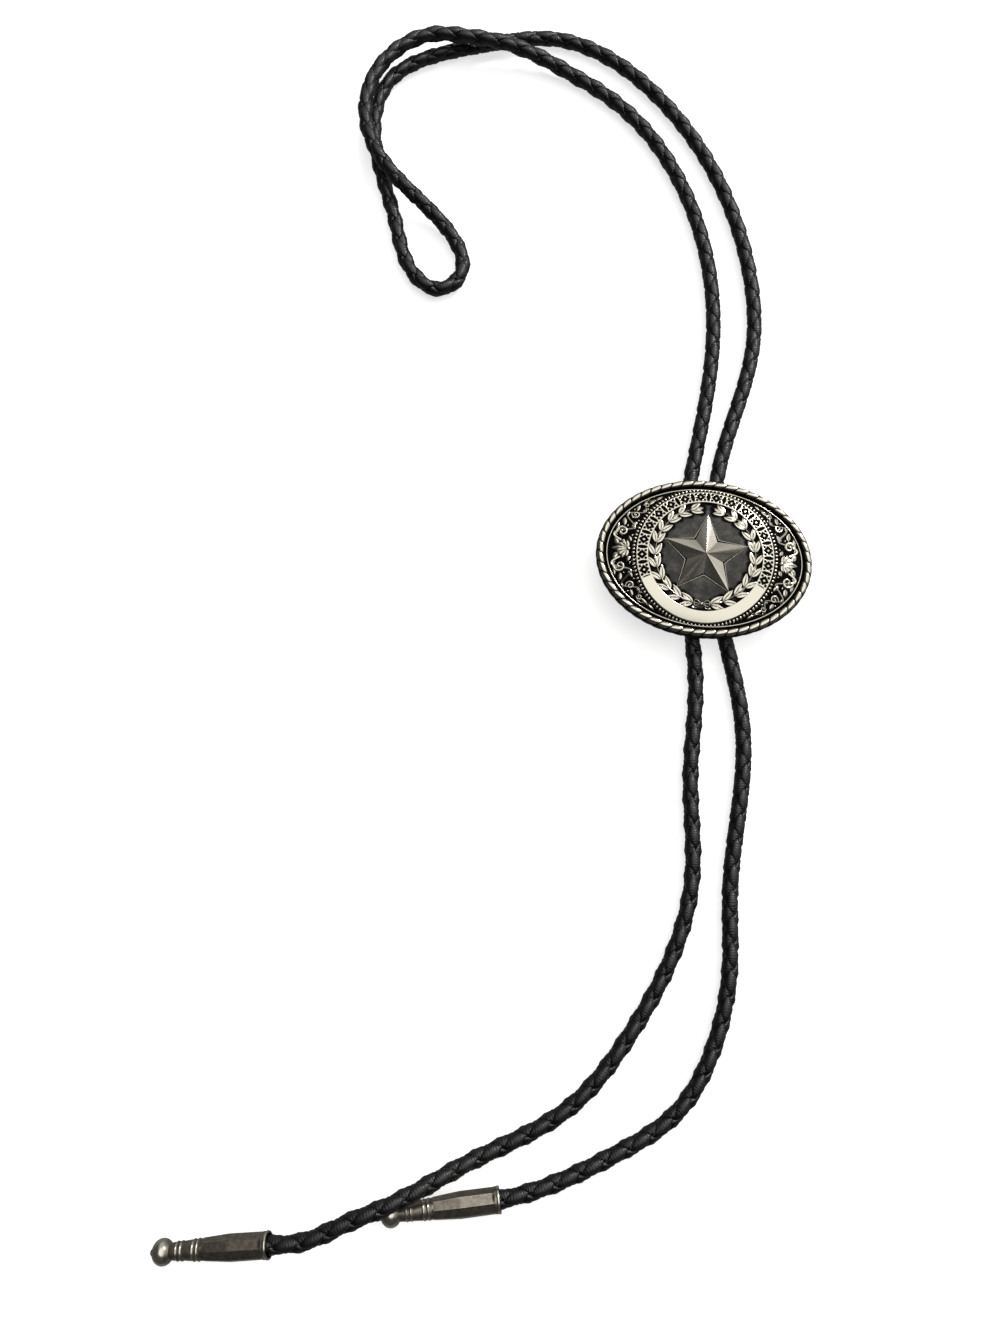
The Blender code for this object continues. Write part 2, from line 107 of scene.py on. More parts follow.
# Rings of the slide's back and wall: inset from the oval, share of the edge's height, shine
WALL_RINGS = ((0.0030, 0.0, 0.5), (0.0009, 0.0, 0.5), (0.0006, 0.06, 0.4), (0.0006, 0.4, 0.3))
OVAL_POINTS = 416
ROPE_POINTS = 30
STRAND_POINTS = 14
WIRE_INSET, WIRE_REACH, WIRE_LIFT, WIRE_RISE = 0.00247, 0.00019, 0.00014, 0.00017

# The band's recessed ornament: its first and last ray in degrees, how often it repeats, and the
# half length and half height of its shapes in mm; a dot has its radius and the place of its middle
MARKS_FIRST, MARKS_LAST, MARKS = -26.0, 207.0, 16
LOZENGE = (1.12, 1.16)
ISLAND = (0.34, 0.40)
SPINDLE = (0.42, 1.10)
DOT, DOT_PLACE = 0.29, (0.98, 0.80)
BEAD_ROW, BEAD_LONG, BEAD_WIDE, BEAD_LIFT, BEAD_RISE = 0.01674, 0.00042, 0.00031, 0.00012, 0.00020

# The star: radius of its notches as a share of its points', heights of its edge above the field at
# a point and at a notch, and the line round it: distance outside the edge at a point, what is
# added at a notch, and then for each ring what it stands inside the line, its rise and its shine
NOTCH_SHARE = 0.44
POINT_RISE, NOTCH_RISE = 0.00045, 0.00012
LINE_OUT, LINE_MORE = 0.00044, 0.00014
LINE_RINGS = (
    (0.0, -0.0003, 0.1), (0.0, 0.00010, 0.7), (0.00005, 0.00018, 1.0), (0.00013, 0.00018, 1.0),
    (0.00018, 0.00004, 0.05),
)

# The wreath: its radius, and the length, width and height of a leaf and of one between two leaves
WREATH = 0.01168
LEAF = (0.0035, 0.00126, 0.00030)
MIDDLE_LEAF = (0.0023, 0.0008, 0.00042)
# Rows of berries: radius of the row, radius of a berry
BERRIES = ((0.01268, 0.00027), (0.01072, 0.00022))

# The side fields: radius where they start outside the beads, inset of their far edge
SIDE_START, SIDE_INSET = 0.0171, 0.00285
# Scrolls of one quarter of the side fields: ray in degrees, share of the way from the beads to the
# wire, size as a share of that way, first heading in degrees, hand, turns
SCROLLS = (
    (12.2, 0.595, 0.30, -40.0, 1, 1.25), (27.6, 0.509, 0.29, 20.0, -1, 1.25),
    (38.0, 0.480, 0.30, -10.0, 1, 1.05),
)
# Leaflets of one quarter: ray, share of the way, heading from the ray, length and width in mm
LEAFLETS = (
    (5.0, 0.72, 60.0, 1.9, 1.125), (4.5, 0.42, 100.0, 1.7, 0.975), (19.8, 0.78, 70.0, 2.0, 1.05),
    (20.0, 0.22, 110.0, 1.9, 0.9), (33.0, 0.78, 80.0, 1.8, 0.825), (33.5, 0.22, 100.0, 1.5, 0.75),
    (43.5, 0.50, 94.0, 2.2, 0.75), (49.5, 0.50, 94.0, 1.9, 0.525), (8.0, 0.16, 60.0, 1.5, 0.825),
    (15.5, 0.93, 88.0, 1.9, 0.675), (25.5, 0.93, 88.0, 1.7, 0.6),
)
# Small balls of one quarter: ray, share of the way
SIDE_BALLS = ((11.0, 0.10), (24.0, 0.12), (36.0, 0.12), (17.5, 0.5), (30.5, 0.86), (40.5, 0.86))
# Leaves of a palmette: heading in degrees, length and width in mm
PALMETTE = (
    (0.0, 3.5, 1.4375), (27.0, 3.0, 1.3125), (-27.0, 3.0, 1.3125), (54.0, 2.5, 1.125),
    (-54.0, 2.5, 1.125), (82.0, 2.0, 1.0), (-82.0, 2.0, 1.0),
)

# The lit parts of the studio's sky, and last the glow from below: direction, angle from it in
# degrees where the light starts and where it is full, strength
LIT_SKY = (
    ((0.200, 0.300, 0.933), 39.0, 30.0, 1.0),
    ((0.130, 0.920, 0.370), 58.0, 2.0, 0.42),
    ((0.760, 0.500, 0.410), 50.0, 2.0, 0.56),
    ((0.000, 0.000, -1.000), 92.0, 78.0, 0.14),
)
UNLIT_SKY = 0.035
KEY_PLACE, KEY_SIZE, KEY_AIM = (0.44, 0.64, 0.56), (0.24, 0.20), (-0.04, 0.0, 0.0)
CAMERA_PLACE, CAMERA_TURN = (-0.03655, -0.08581, 0.25494), (12.6, 0.5, 6.3)


def number(name, description, default, least=0.0, **more):
    """A property that holds a number."""
    return bpy.props.FloatProperty(
        name=name, description=description, default=default, min=least, **more)


def length(name, description, default):
    """A property that holds a length in metres."""
    return number(name, description, default, precision=5, subtype="DISTANCE", unit="LENGTH")


def colour(name, description, default):
    """A property that holds a colour."""
    return bpy.props.FloatVectorProperty(
        name=name, description=description, default=default, size=3, min=0.0, max=1.0,
        subtype="COLOR",
    )


def count(name, description, default, least):
    """A property that holds a whole number."""
    return bpy.props.IntProperty(name=name, description=description, default=default, min=least)


class BoloSlideSettings(bpy.types.PropertyGroup):
    """Sizes and colours of the cast slide."""

    half_length: length("Half length", "Half of the oval's long axis", float(SLIDE_HIGH[0]))
    half_width: length("Half width", "Half of the oval's short axis", float(SLIDE_HIGH[1]))
    back: length("Back", "Height of the slide's back above the surface", float(SLIDE_LOW[2]))
    edge_height: length("Edge height", "Height of the rope edge", 0.0034)
    rope_width: length("Rope width", "Width of the rope edge seen from above", 0.00205)
    strands: count("Strands", "Rope strands counted round the oval", 52, 8)
    dome_rise: length("Dome rise", "Rise of the face from the rope's foot to its middle", 0.0026)
    band_outer: length("Band outside", "Outer radius of the polished band", 0.0162)
    band_inner: length("Band inside", "Inner radius of the polished band", 0.0133)
    band_rise: length("Band rise", "Height of the band above the dome", 0.0005)
    field_dip: length("Field dip", "Depth of the star's field at its middle", 0.0006)
    mark_depth: length("Mark depth", "Depth of the band's recessed ornament", 0.00022)
    beads: count("Beads", "Beads in the row round the band", 116, 12)
    star_reach: length("Star reach", "Radius of the star's points", 0.0099)
    star_rise: length("Star rise", "Height of the star's middle above its field", 0.0016)
    leaf_pairs: count("Leaf pairs", "Pairs of leaves on each laurel spray", 11, 3)
    polished: colour("Polished", "Colour of the polished high spots", (0.66, 0.625, 0.53))
    field_grey: colour("Field", "Colour of the matte star field", (0.050, 0.049, 0.046))
    recess: colour("Recess", "Colour of the blackened recesses", (0.0018, 0.0018, 0.0016))


class BoloCordSettings(bpy.types.PropertyGroup):
    """Sizes and colours of the plaited cord."""

    radius: length("Radius", "Outside radius of the plait", 0.00205)
    pitch: length("Pitch", "Length of cord in which a strap goes once round", 0.0115)
    strap_thickness: length("Strap thickness", "Thickness of one leather strap", 0.00090)
    strap_fill: number("Strap fill", "Width of a strap as a share of the room it has", 0.96, 0.3,
                       max=1.0, subtype="FACTOR")
    lay_radius: length("Lay radius", "Radius where a strap's width and slant are taken", 0.00178)
    wave: length("Wave", "How far a strap rises and dips at each crossing", 0.00028)
    droop: length("Droop", "How far a strap's edges lie below its middle", 0.00014)
    leather: colour("Leather", "Colour of the leather's face", (0.0135, 0.0135, 0.0133))
    # The crease colour is painted shade deep between the straps.
    crease_shade: colour("Crease", "Colour deep between the straps", (0.0004, 0.0004, 0.0004))
    cut_edge: colour("Cut edge", "Colour of the straps' worn edges", (0.130, 0.130, 0.125))


class BoloTipSettings(bpy.types.PropertyGroup):
    """Sizes and colours of the two tips."""

    radius: length("Radius", "Radius over the corners of the eight-sided body", 0.00276)
    bore: length("Bore", "Radius of the socket", 0.00235)
    body: length("Body length", "Length from the mouth to the neck", 0.0204)
    socket: length("Socket depth", "Depth of the socket for the cord", 0.0065)
    ball: length("Ball radius", "Radius of the ball", 0.0027)
    ball_half: length("Ball half length", "Half of the ball's length along the tip", 0.0023)
    ball_middle: length("Ball middle", "Distance from the mouth to the ball's middle", 0.0233)
    nub: length("Nub radius", "Radius of the nub on the ball's end", 0.0007)
    worn: colour("Worn", "Colour of the ridges worn bright", (0.72, 0.69, 0.60))
    patina: colour("Patina", "Colour of the dark nickel", (0.38, 0.355, 0.295))
    brown: colour("Brown", "Colour of the brown mottling", (0.27, 0.22, 0.185))
    # The socket's inside is darker than the rest of the tip.
    socket_dark: colour("Grime", "Colour of the socket's inside", (0.022, 0.019, 0.015))


class BoloStageSettings(bpy.types.PropertyGroup):
    """The floor, lights and camera."""

    floor_size: length("Floor size", "Side of the square floor", 3.0)
    floor_colour: colour("Floor", "Colour of the floor", (0.93, 0.93, 0.925))
    floor_glow: number("Floor glow", "Strength of the floor's own light", 0.70)
    sky_colour: colour("Sky colour", "Colour of the soft light", (1.0, 0.995, 0.98))
    sky_strength: number("Sky", "Strength of the soft light", 1.34)
    key_power: number("Key", "Power of the softbox", 3.4, unit="POWER")
    focal_length: number("Focal length", "Focal length of the lens in millimetres", 29.707, 1.0)


# Surfaces on grids


def smoothstep(value, low, high):
    """Cubic ease from 0 at low to 1 at high."""
    t = np.clip((np.asarray(value, float) - low) / (high - low), 0.0, 1.0)
    return t * t * (3.0 - 2.0 * t)


def rounded(value, power):
    """The value's size raised to a power, with its sign kept."""
    return np.sign(value) * np.abs(value) ** power


def polar(radius, angle):
    """x and y of points at a radius and an angle."""
    return radius * np.cos(angle), radius * np.sin(angle)


def circle(points):
    """Angles of points spaced evenly round a circle."""
    return np.arange(points) / points * TURN


def grid_faces(rows, columns, wrap_rows=False, wrap_columns=False):
    """Four-sided faces between neighbouring points of a grid stored row by row."""
    row = np.arange(rows if wrap_rows else rows - 1)[:, None]
    column = np.arange(columns if wrap_columns else columns - 1)[None, :]
    next_row = (row + 1) % rows
    next_column = (column + 1) % columns
    corners = (
        row * columns + column,
        row * columns + next_column,
        next_row * columns + next_column,
        next_row * columns + column,
    )
    return np.stack([corner.ravel() for corner in corners], axis=1)


def outward(points, faces):
    """The faces, turned over if the closed surface they make has a negative volume."""
    volume = 0.0
    for block in faces:
        for k in range(1, block.shape[1] - 1):
            a, b, c = points[block[:, 0]], points[block[:, k]], points[block[:, k + 1]]
            volume += np.einsum("ij,ij->", a, np.cross(b, c))
    return faces if volume > 0.0 else [block[:, ::-1] for block in faces]


def closed_part(rings, first=None, last=None, **values):
    """A closed surface through rings of points (rings, points, xyz), with a fan of triangles from
    a middle point to the first ring and from one to the last. values are given for each ring point,
    and the middle points take the mean of their ring's."""
    rows, around, _ = rings.shape
    ends = [
        rings[0].mean(axis=0) if first is None else first,
        rings[-1].mean(axis=0) if last is None else last,
    ]
    points = np.concatenate([rings.reshape(-1, 3), np.array(ends, float)])
    here = np.arange(around)
    there = (here + 1) % around
    start = np.stack([np.full(around, rows * around), there, here], axis=1)
    base = (rows - 1) * around
    stop = np.stack([np.full(around, rows * around + 1), base + here, base + there], axis=1)
    faces = outward(points, [grid_faces(rows, around, wrap_columns=True), start, stop])
    part = {"points": points, "faces": faces}
    for name, value in values.items():
        value = np.broadcast_to(np.asarray(value, float), (rows, around))
        part[name] = np.concatenate([value.ravel(), [value[0].mean(), value[-1].mean()]])
    return part


def ring_part(rings, shine):
    """A closed surface like a torus through rings of points (around, section, xyz)."""
    shape = rings.shape[:2]
    points = rings.reshape(-1, 3)
    faces = outward(points, [grid_faces(*shape, True, True)])
    shine = np.broadcast_to(np.asarray(shine, float), shape).ravel()
    return {"points": points, "faces": faces, "shine": shine}


def mirrored(part, axis):
    """The part mirrored in one axis, with its faces turned to point outwards again."""
    points = part["points"].copy()
    points[:, axis] *= -1.0
    return {**part, "points": points, "faces": [block[:, ::-1] for block in part["faces"]]}


def put_piece(name, parts, finish, sharp, stands_for=None):
    """One object at the origin that holds all the parts, with their values as point attributes. It
    may stand for a CAD node, rides on the tie's one body and takes its finish from the slot. Edges
    sharper than the angle in degrees stay sharp."""
    points = np.concatenate([part["points"] for part in parts])
    faces = []
    base = 0
    for part in parts:
        for block in part["faces"]:
            faces += (block + base).tolist()
        base += len(part["points"])
    mesh = bpy.data.meshes.new(name)
    mesh.from_pydata(points.tolist(), [], faces)
    for key in parts[0]:
        if key not in ("points", "faces"):
            values = np.concatenate([part[key] for part in parts])
            attribute = mesh.attributes.new(key, "FLOAT", "POINT")
            attribute.data.foreach_set("value", values.astype(np.float32))
    mesh.materials.append(finish)
    mesh.shade_smooth()
    mesh.set_sharp_from_angle(angle=math.radians(sharp))
    mesh.validate()
    piece = bpy.data.objects.new(name, mesh)
    bpy.context.scene.collection.objects.link(piece)
    if stands_for:
        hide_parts(stands_for)
    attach(piece, "root")
    return piece


def tube_along(line, radius, height, section=8, **values):
    """A closed ridge: a half-flattened round section, radius wide and height high at each point,
    carried along a line. Both ends are closed by fans."""
    way = np.gradient(line, axis=0)
    side = np.stack([-way[:, 1], way[:, 0], np.zeros(len(way))], axis=1)
    side /= np.linalg.norm(side, axis=1)[:, None]
    radius = np.broadcast_to(radius, len(line))[:, None, None]
    height = np.broadcast_to(height, len(line))[:, None]
    angle = circle(section)
    rings = line[:, None, :] + np.cos(angle)[None, :, None] * radius * side[:, None, :]
    rings[:, :, 2] += np.sin(angle) * height
    return closed_part(rings, **values)


# Finishes


def fill(made, inputs):
    """Gives a node's inputs their values or links."""
    for key, value in inputs.items():
        if isinstance(value, bpy.types.NodeSocket):
            made.id_data.links.new(value, made.inputs[key])
        else:
            made.inputs[key].default_value = value


def node(tree, kind, inputs=None, **settings):
    """A node with its settings and its inputs' values or links."""
    made = tree.nodes.new(kind)
    for key, value in settings.items():
        setattr(made, key, value)
    fill(made, inputs or {})
    return made


def new_finish(name):
    """A material whose node tree holds only a Principled shader and the output, with that tree and
    that shader."""
    material = bpy.data.materials.new(name)
    material.use_nodes = True
    tree = material.node_tree
    tree.nodes.clear()
    shader = node(tree, "ShaderNodeBsdfPrincipled")
    node(tree, "ShaderNodeOutputMaterial", {"Surface": shader.outputs["BSDF"]})
    return material, tree, shader


def reading(tree, name):
    """The value of a point attribute."""
    return node(tree, "ShaderNodeAttribute", attribute_name=name).outputs["Fac"]


def noise(tree, scale, detail=3.0, roughness=0.55, distortion=0.0, vector=None):
    """Noise on Object coordinates, scale in repeats a metre."""
    if vector is None:
        vector = node(tree, "ShaderNodeTexCoord").outputs["Object"]
    made = node(tree, "ShaderNodeTexNoise", {
        "Vector": vector, "Scale": scale, "Detail": detail, "Roughness": roughness,
        "Distortion": distortion,
    })
    return made.outputs["Fac"]


def arithmetic(tree, operation, first, second, clamp=False):
    """What one operation makes of two values."""
    made = node(tree, "ShaderNodeMath", {0: first, 1: second}, operation=operation, use_clamp=clamp)
    return made.outputs[0]


def about_zero(tree, value, amount):
    """A noise value less its mean of a half, times an amount."""
    return arithmetic(tree, "MULTIPLY", arithmetic(tree, "SUBTRACT", value, 0.5), amount)


def spread(tree, value, low, high, to_low=0.0, to_high=1.0):
    """The value moved from one range to another with an eased curve."""
    made = node(tree, "ShaderNodeMapRange", {
        "Value": value, "From Min": low, "From Max": high, "To Min": to_low, "To Max": to_high,
    }, interpolation_type="SMOOTHSTEP")
    return made.outputs["Result"]


def mixed(tree, factor, *shades):
    """A colour between two, each given as a colour or as a link."""
    inputs = {"Factor": factor}
    for key, shade in zip("AB", shades):
        inputs[key] = shade if isinstance(shade, bpy.types.NodeSocket) else (*shade, 1.0)
    return node(tree, "ShaderNodeMix", inputs, data_type="RGBA").outputs["Result"]


def ramp(tree, value, stops):
    """A colour ramp with stops of (place, colour)."""
    made = node(tree, "ShaderNodeValToRGB", {"Fac": value})
    band = made.color_ramp
    while len(band.elements) < len(stops):
        band.elements.new(1.0)
    for element, (place, shade) in zip(band.elements, stops):
        element.position = place
        element.color = (*shade, 1.0)
    return made.outputs["Color"]


def bumped(tree, height, distance, strength, normal=None):
    """A normal bent by a height, distance in metres."""
    inputs = {"Height": height, "Distance": distance, "Strength": strength}
    if normal is not None:
        inputs["Normal"] = normal
    return node(tree, "ShaderNodeBump", inputs).outputs["Normal"]


def silver_finish(settings):
    """Antiqued silver: the point attribute shine runs from the blackened recesses through the grey
    field to the polished high spots, made uneven by fine casting grain and broad clouds. On the
    star's facets and the rope's outer wall it also holds painted shade."""
    material, tree, shader = new_finish("antiqued silver")
    grain = noise(tree, 5200.0, 4.0, 0.65)
    clouds = noise(tree, 420.0, 3.0, 0.6)
    uneven = about_zero(tree, grain, 0.16)
    # worn holds wear and patina, and also the painted shade on the star and the rope.
    worn = arithmetic(tree, "ADD", reading(tree, "shine"), uneven)
    worn = arithmetic(tree, "ADD", worn, about_zero(tree, clouds, 0.14), clamp=True)
    middle = tuple(0.55 * a + 0.25 * b for a, b in zip(settings.polished, settings.field_grey))
    rough = ramp(tree, worn, ((0.05, (0.60,) * 3), (0.40, (0.48,) * 3), (0.85, (0.14,) * 3)))
    pitted = bumped(tree, grain, 0.000008, 0.5)
    fill(shader, {
        "Base Color": ramp(tree, worn, (
            (0.06, settings.recess),
            (0.36, settings.field_grey),
            (0.62, middle),
            (0.86, settings.polished),
        )),
        "Metallic": spread(tree, worn, 0.12, 0.55),
        "Roughness": arithmetic(tree, "ADD", rough, arithmetic(tree, "MULTIPLY", uneven, 0.5)),
        "Specular IOR Level": 0.04,
        "Normal": bumped(tree, clouds, 0.00002, 0.35, pitted),
    })
    return material


def nickel_finish(settings):
    """Antique nickel: the point attribute shine brightens the worn ridges and the ball, which also
    carries a painted highlight, and the flats are mottled brown and finely pitted."""
    material, tree, shader = new_finish("antique nickel")
    blots = noise(tree, 900.0, 4.0, 0.6, 0.4)
    grain = noise(tree, 6500.0, 3.0, 0.6)
    uneven = about_zero(tree, grain, 0.20)
    # worn also holds the painted highlight on the ball.
    worn = arithmetic(tree, "ADD", reading(tree, "shine"), uneven, clamp=True)
    mottled = mixed(tree, spread(tree, blots, 0.36, 0.62), settings.patina, settings.brown)
    bright = mixed(tree, spread(tree, worn, 0.55, 0.92), mottled, settings.worn)
    rough = spread(tree, worn, 0.1, 0.95, 0.42, 0.20)
    pitted = bumped(tree, grain, 0.000010, 0.5)
    fill(shader, {
        "Base Color": mixed(tree, spread(tree, worn, 0.02, 0.30), settings.socket_dark, bright),
        "Metallic": 0.95,
        "Roughness": arithmetic(tree, "ADD", rough, arithmetic(tree, "MULTIPLY", uneven, 0.5)),
        "Normal": bumped(tree, blots, 0.00005, 0.4, pitted),
    })
    return material


def leather_finish(settings):
    """Black leather with painted shade where a strap dips under another, creases across each strap
    from a wave along it, a fine grain, and one edge cut paler in places."""
    material, tree, shader = new_finish("plaited leather")
    soft = noise(tree, 700.0, 3.0, 0.6)
    grain = noise(tree, 3200.0, 4.0, 0.65)
    bent = arithmetic(tree, "ADD", arithmetic(tree, "MULTIPLY", reading(tree, "along"), 11.0),
                      arithmetic(tree, "MULTIPLY", soft, 14.0))
    edge = spread(tree, reading(tree, "across"), 0.80, 0.97)
    cut = arithmetic(tree, "MULTIPLY", edge, spread(tree, soft, 0.47, 0.56))
    # Painted shade: the face's colour falls to the crease colour where a strap dips under another.
    high = spread(tree, reading(tree, "raised"), 0.20, 0.90)
    face = mixed(tree, high, settings.crease_shade, settings.leather)
    creased = bumped(tree, arithmetic(tree, "SINE", bent, 0.0), 0.00003, 0.65)
    fill(shader, {
        "Base Color": mixed(tree, cut, face, settings.cut_edge),
        "Roughness": arithmetic(tree, "ADD", 0.33, about_zero(tree, grain, 0.30)),
        "Specular IOR Level": 0.60,
        "Normal": bumped(tree, grain, 0.00002, 0.5, creased),
    })
    return material


def steel_finish():
    """Plain pressed steel, brushed along the clip."""
    material, tree, shader = new_finish("pressed steel")
    place = node(tree, "ShaderNodeTexCoord").outputs["Object"]
    stretched = node(tree, "ShaderNodeMapping", {
        "Vector": place, "Scale": (4200.0, 160.0, 4200.0),
    }).outputs["Vector"]
    brushed = noise(tree, 1.0, 4.0, 0.6, vector=stretched)
    clouds = arithmetic(tree, "MULTIPLY", noise(tree, 500.0), 0.20)
    fill(shader, {
        "Base Color": ramp(tree, brushed, (
            (0.30, (0.40, 0.40, 0.39)),
            (0.72, (0.66, 0.66, 0.64)),
        )),
        "Metallic": 1.0,
        "Roughness": arithmetic(tree, "ADD", 0.26, clouds),
        "Normal": bumped(tree, brushed, 0.00001, 0.5),
    })
    return material


# The slide


def dome(settings, x, y):
    """Height of the domed face: highest in the middle, falling as the square of the way out."""
    foot = settings.back + 0.70 * settings.edge_height
    long_half = settings.half_length - settings.rope_width
    short_half = settings.half_width - settings.rope_width
    return foot + settings.dome_rise * (1.0 - (x / long_half) ** 2 - (y / short_half) ** 2)


def sunk_field(settings, x, y):
    """Height of the star's field: the dome, lowered most in the middle."""
    share = 1.0 - (x * x + y * y) / settings.band_inner**2
    return dome(settings, x, y) - settings.field_dip * np.maximum(share, 0.0)


def on_face(settings, x, y, rise=0.0, base=sunk_field):
    """Points at a rise above a face."""
    return np.stack([x, y, base(settings, x, y) + rise], axis=-1)


def oval(settings, turns, inset):
    """x and y on the slide's oval drawn in by the inset, at ellipse parameters."""
    return ((settings.half_length - inset) * np.cos(turns),
            (settings.half_width - inset) * np.sin(turns))


def oval_turns(settings, points):
    """Ellipse parameters of points spaced evenly along the oval."""
    fine = np.linspace(0.0, TURN, 4001)
    x, y = oval(settings, fine, 0.0)
    run = np.concatenate([[0.0], np.cumsum(np.hypot(np.diff(x), np.diff(y)))])
    return np.interp(np.arange(points) / points * run[-1], run, fine)


def side_point(settings, ray, share):
    """The point on a ray, in degrees, a share of the way from the bead row to the wire, and the
    length of that way."""
    ray = np.radians(ray)
    stop = 1.0 / np.hypot(np.cos(ray) / (settings.half_length - SIDE_INSET),
                          np.sin(ray) / (settings.half_width - SIDE_INSET))
    x, y = polar(SIDE_START + share * (stop - SIDE_START), ray)
    return x, y, stop - SIDE_START


def laurel_leaves(settings):
    """Foot, heading, length, width and height of every leaf of the right-hand spray. The pairs
    grow smaller up it, and every other one has a leaf between the two."""
    rows = []
    last = settings.leaf_pairs - 1
    for pair in range(settings.leaf_pairs):
        angle = math.radians(-80.0 + 150.0 * pair / last)
        shrink = 1.0 - 0.18 * pair / last
        spread_out = math.radians(23.0 + 4.0 * (pair % 2))
        for side in (1, -1):
            foot = polar(WREATH + side * 0.00016, angle)
            heading = angle + math.pi / 2 - side * spread_out
            rows.append((*foot, heading, LEAF[0] * shrink, *LEAF[1:]))
        if pair % 2 == 0:
            middle = angle + math.radians(4.0)
            rows.append((*polar(WREATH, middle), middle + math.pi / 2, *MIDDLE_LEAF))
    return rows


def leaf_part(settings, x, y, heading, size, width, height, base=sunk_field):
    """A pointed leaf on a face: its half width goes as a skewed sine along it, its upper side is
    two swellings beside a sunk midrib, and its underside is below the face."""
    t = np.linspace(0.02, 0.98, 9)[:, None]
    across = np.array([-1.0, -0.86, -0.20, 0.0, 0.20, 0.86, 1.0, 0.55, -0.55])
    lift = np.array([0.05, 0.82, 1.0, 0.70, 1.0, 0.82, 0.05, 0.0, 0.0])
    under = np.array([0.0] * 7 + [0.00025] * 2)
    midrib = np.array([1.0] * 3 + [0.62] + [1.0] * 5)
    half = width / 2 * np.sin(math.pi * t**0.8) ** 0.92 + width * 0.03
    swell = np.sin(math.pi * (t * 0.92 + 0.05)) ** 0.35
    u = size * t
    v = half * across
    px = x + u * math.cos(heading) - v * math.sin(heading)
    py = y + u * math.sin(heading) + v * math.cos(heading)
    shine = np.where(lift > 0.5, 1.0, 0.15) * (0.75 + 0.25 * swell) * midrib
    return closed_part(on_face(settings, px, py, lift * height * swell - under, base), shine=shine)


def ball_part(settings, x, y, radius, base=sunk_field, squash=0.8):
    """A small ball of 40 faces sitting on a face."""
    lat = np.radians([-50.0, -15.0, 20.0, 52.0])[:, None]
    px, py = polar(radius * np.cos(lat), circle(8))
    ground = base(settings, x, y) + 0.3 * radius
    pz = np.broadcast_to(ground + squash * radius * np.sin(lat), px.shape)
    rings = np.stack([x + px, y + py, pz], axis=2)
    return closed_part(rings, last=(x, y, ground + squash * radius), shine=0.95)


class BOLO_OT_plate(bpy.types.Operator):
    """Make the slide's plate: its flat back, its wall, the domed face and the sunk star field."""

    bl_idname = "bolo.plate"
    bl_label = "Slide plate"

    def execute(self, context):
        """Rings from the middle of the back out to the wall, up it and in over the face: ellipses
        that turn into circles at the band, each at the height of the dome or of the field. The
        face is black outside the band and round the leaves."""
        s = context.scene.bolo_slide
        turns = oval_turns(s, OVAL_POINTS)
        ray = np.arctan2(*oval(s, turns, 0.0)[::-1])
        rings, shine = [], []
        for inset, height, tone in WALL_RINGS:
            x, y = oval(s, turns, inset)
            z = np.full_like(x, s.back + height * s.edge_height)
            rings.append(np.stack([x, y, z], axis=1))
            shine.append(np.full_like(x, tone))
        outer = np.stack(oval(s, turns, 0.8 * s.rope_width))
        inner = np.stack(polar(s.band_outer, ray))
        for t in np.linspace(0.0, 1.0, 26):
            rings.append(on_face(s, *((1.0 - t) * outer + t * inner), base=dome))
            shine.append(np.zeros_like(ray))
        leaves = np.array(laurel_leaves(s))
        reach = np.stack(polar(leaves[:, 3], leaves[:, 2]), axis=1)
        spots = np.concatenate([leaves[:, :2] + reach * share for share in (0.15, 0.5, 0.85)])
        spots = np.concatenate([spots, spots * (-1.0, 1.0)])
        for radius in np.linspace(s.band_inner + 0.0002, 0.0004, 84):
            x, y = polar(radius, ray)
            rings.append(on_face(s, x, y))
            # The field darkens to black towards the band's inner edge and round the leaves' feet.
            gap = np.hypot(x[:, None] - spots[:, 0], y[:, None] - spots[:, 1]).min(axis=1)
            rim = 1.0 - smoothstep(radius, s.band_inner - 0.0009, s.band_inner - 0.0003)
            shine.append(0.37 * smoothstep(gap, 0.0006, 0.0013) * rim)
        top = (0.0, 0.0, float(sunk_field(s, 0.0, 0.0)))
        part = closed_part(np.array(rings), (0.0, 0.0, s.back), top, shine=np.array(shine))
        put_piece("slide_plate", [part], silver_finish(s), 40.0, "medallion")
        return {"FINISHED"}


class BOLO_OT_rope(bpy.types.Operator):
    """Make the rope edge and the thin wire line inside it."""

    bl_idname = "bolo.rope"
    bl_label = "Rope edge"

    def execute(self, context):
        """The rope is a full oval section carried round the oval. Its radius is cut by grooves that
        wind round the section as they go along, so each strand lies aslant. The wire is a small
        round section on a smaller oval."""
        s = context.scene.bolo_slide
        turns = oval_turns(s, s.strands * STRAND_POINTS)[:, None]
        psi = circle(ROPE_POINTS)
        strand = np.arange(len(turns))[:, None] / STRAND_POINTS - 2.0 * psi / TURN
        groove = 1.0 - np.abs(np.sin(math.pi * strand)) ** 0.40
        reach = 1.0 - 0.17 * groove
        half, tall = s.rope_width / 2, s.edge_height / 2
        x, y = oval(s, turns, half - half * rounded(np.cos(psi), 0.86) * reach)
        z = s.back + tall + tall * rounded(np.sin(psi), 0.86) * reach
        # The crown is worn bright and the grooves and inner foot are blackened; the outer wall's
        # lower shine is partly patina and partly painted shade.
        crown = smoothstep(np.sin(psi), 0.55, 0.90)
        inner = smoothstep(np.cos(psi), -0.75, -0.30)
        shine = (0.27 + 0.73 * crown) * inner * (1.0 - 0.95 * smoothstep(groove, 0.28, 0.56))
        rope = ring_part(np.stack([x, y, z], axis=2), shine)
        put_piece("slide_rope", [rope], silver_finish(s), 70.0)
        angle = circle(8)
        x, y = oval(s, oval_turns(s, OVAL_POINTS)[:, None], WIRE_INSET + WIRE_REACH * np.cos(angle))
        rise = WIRE_LIFT + WIRE_RISE * np.sin(angle)
        wire = ring_part(on_face(s, x, y, rise, dome), 0.93)
        put_piece("slide_wire", [wire], silver_finish(s), 70.0)
        return {"FINISHED"}


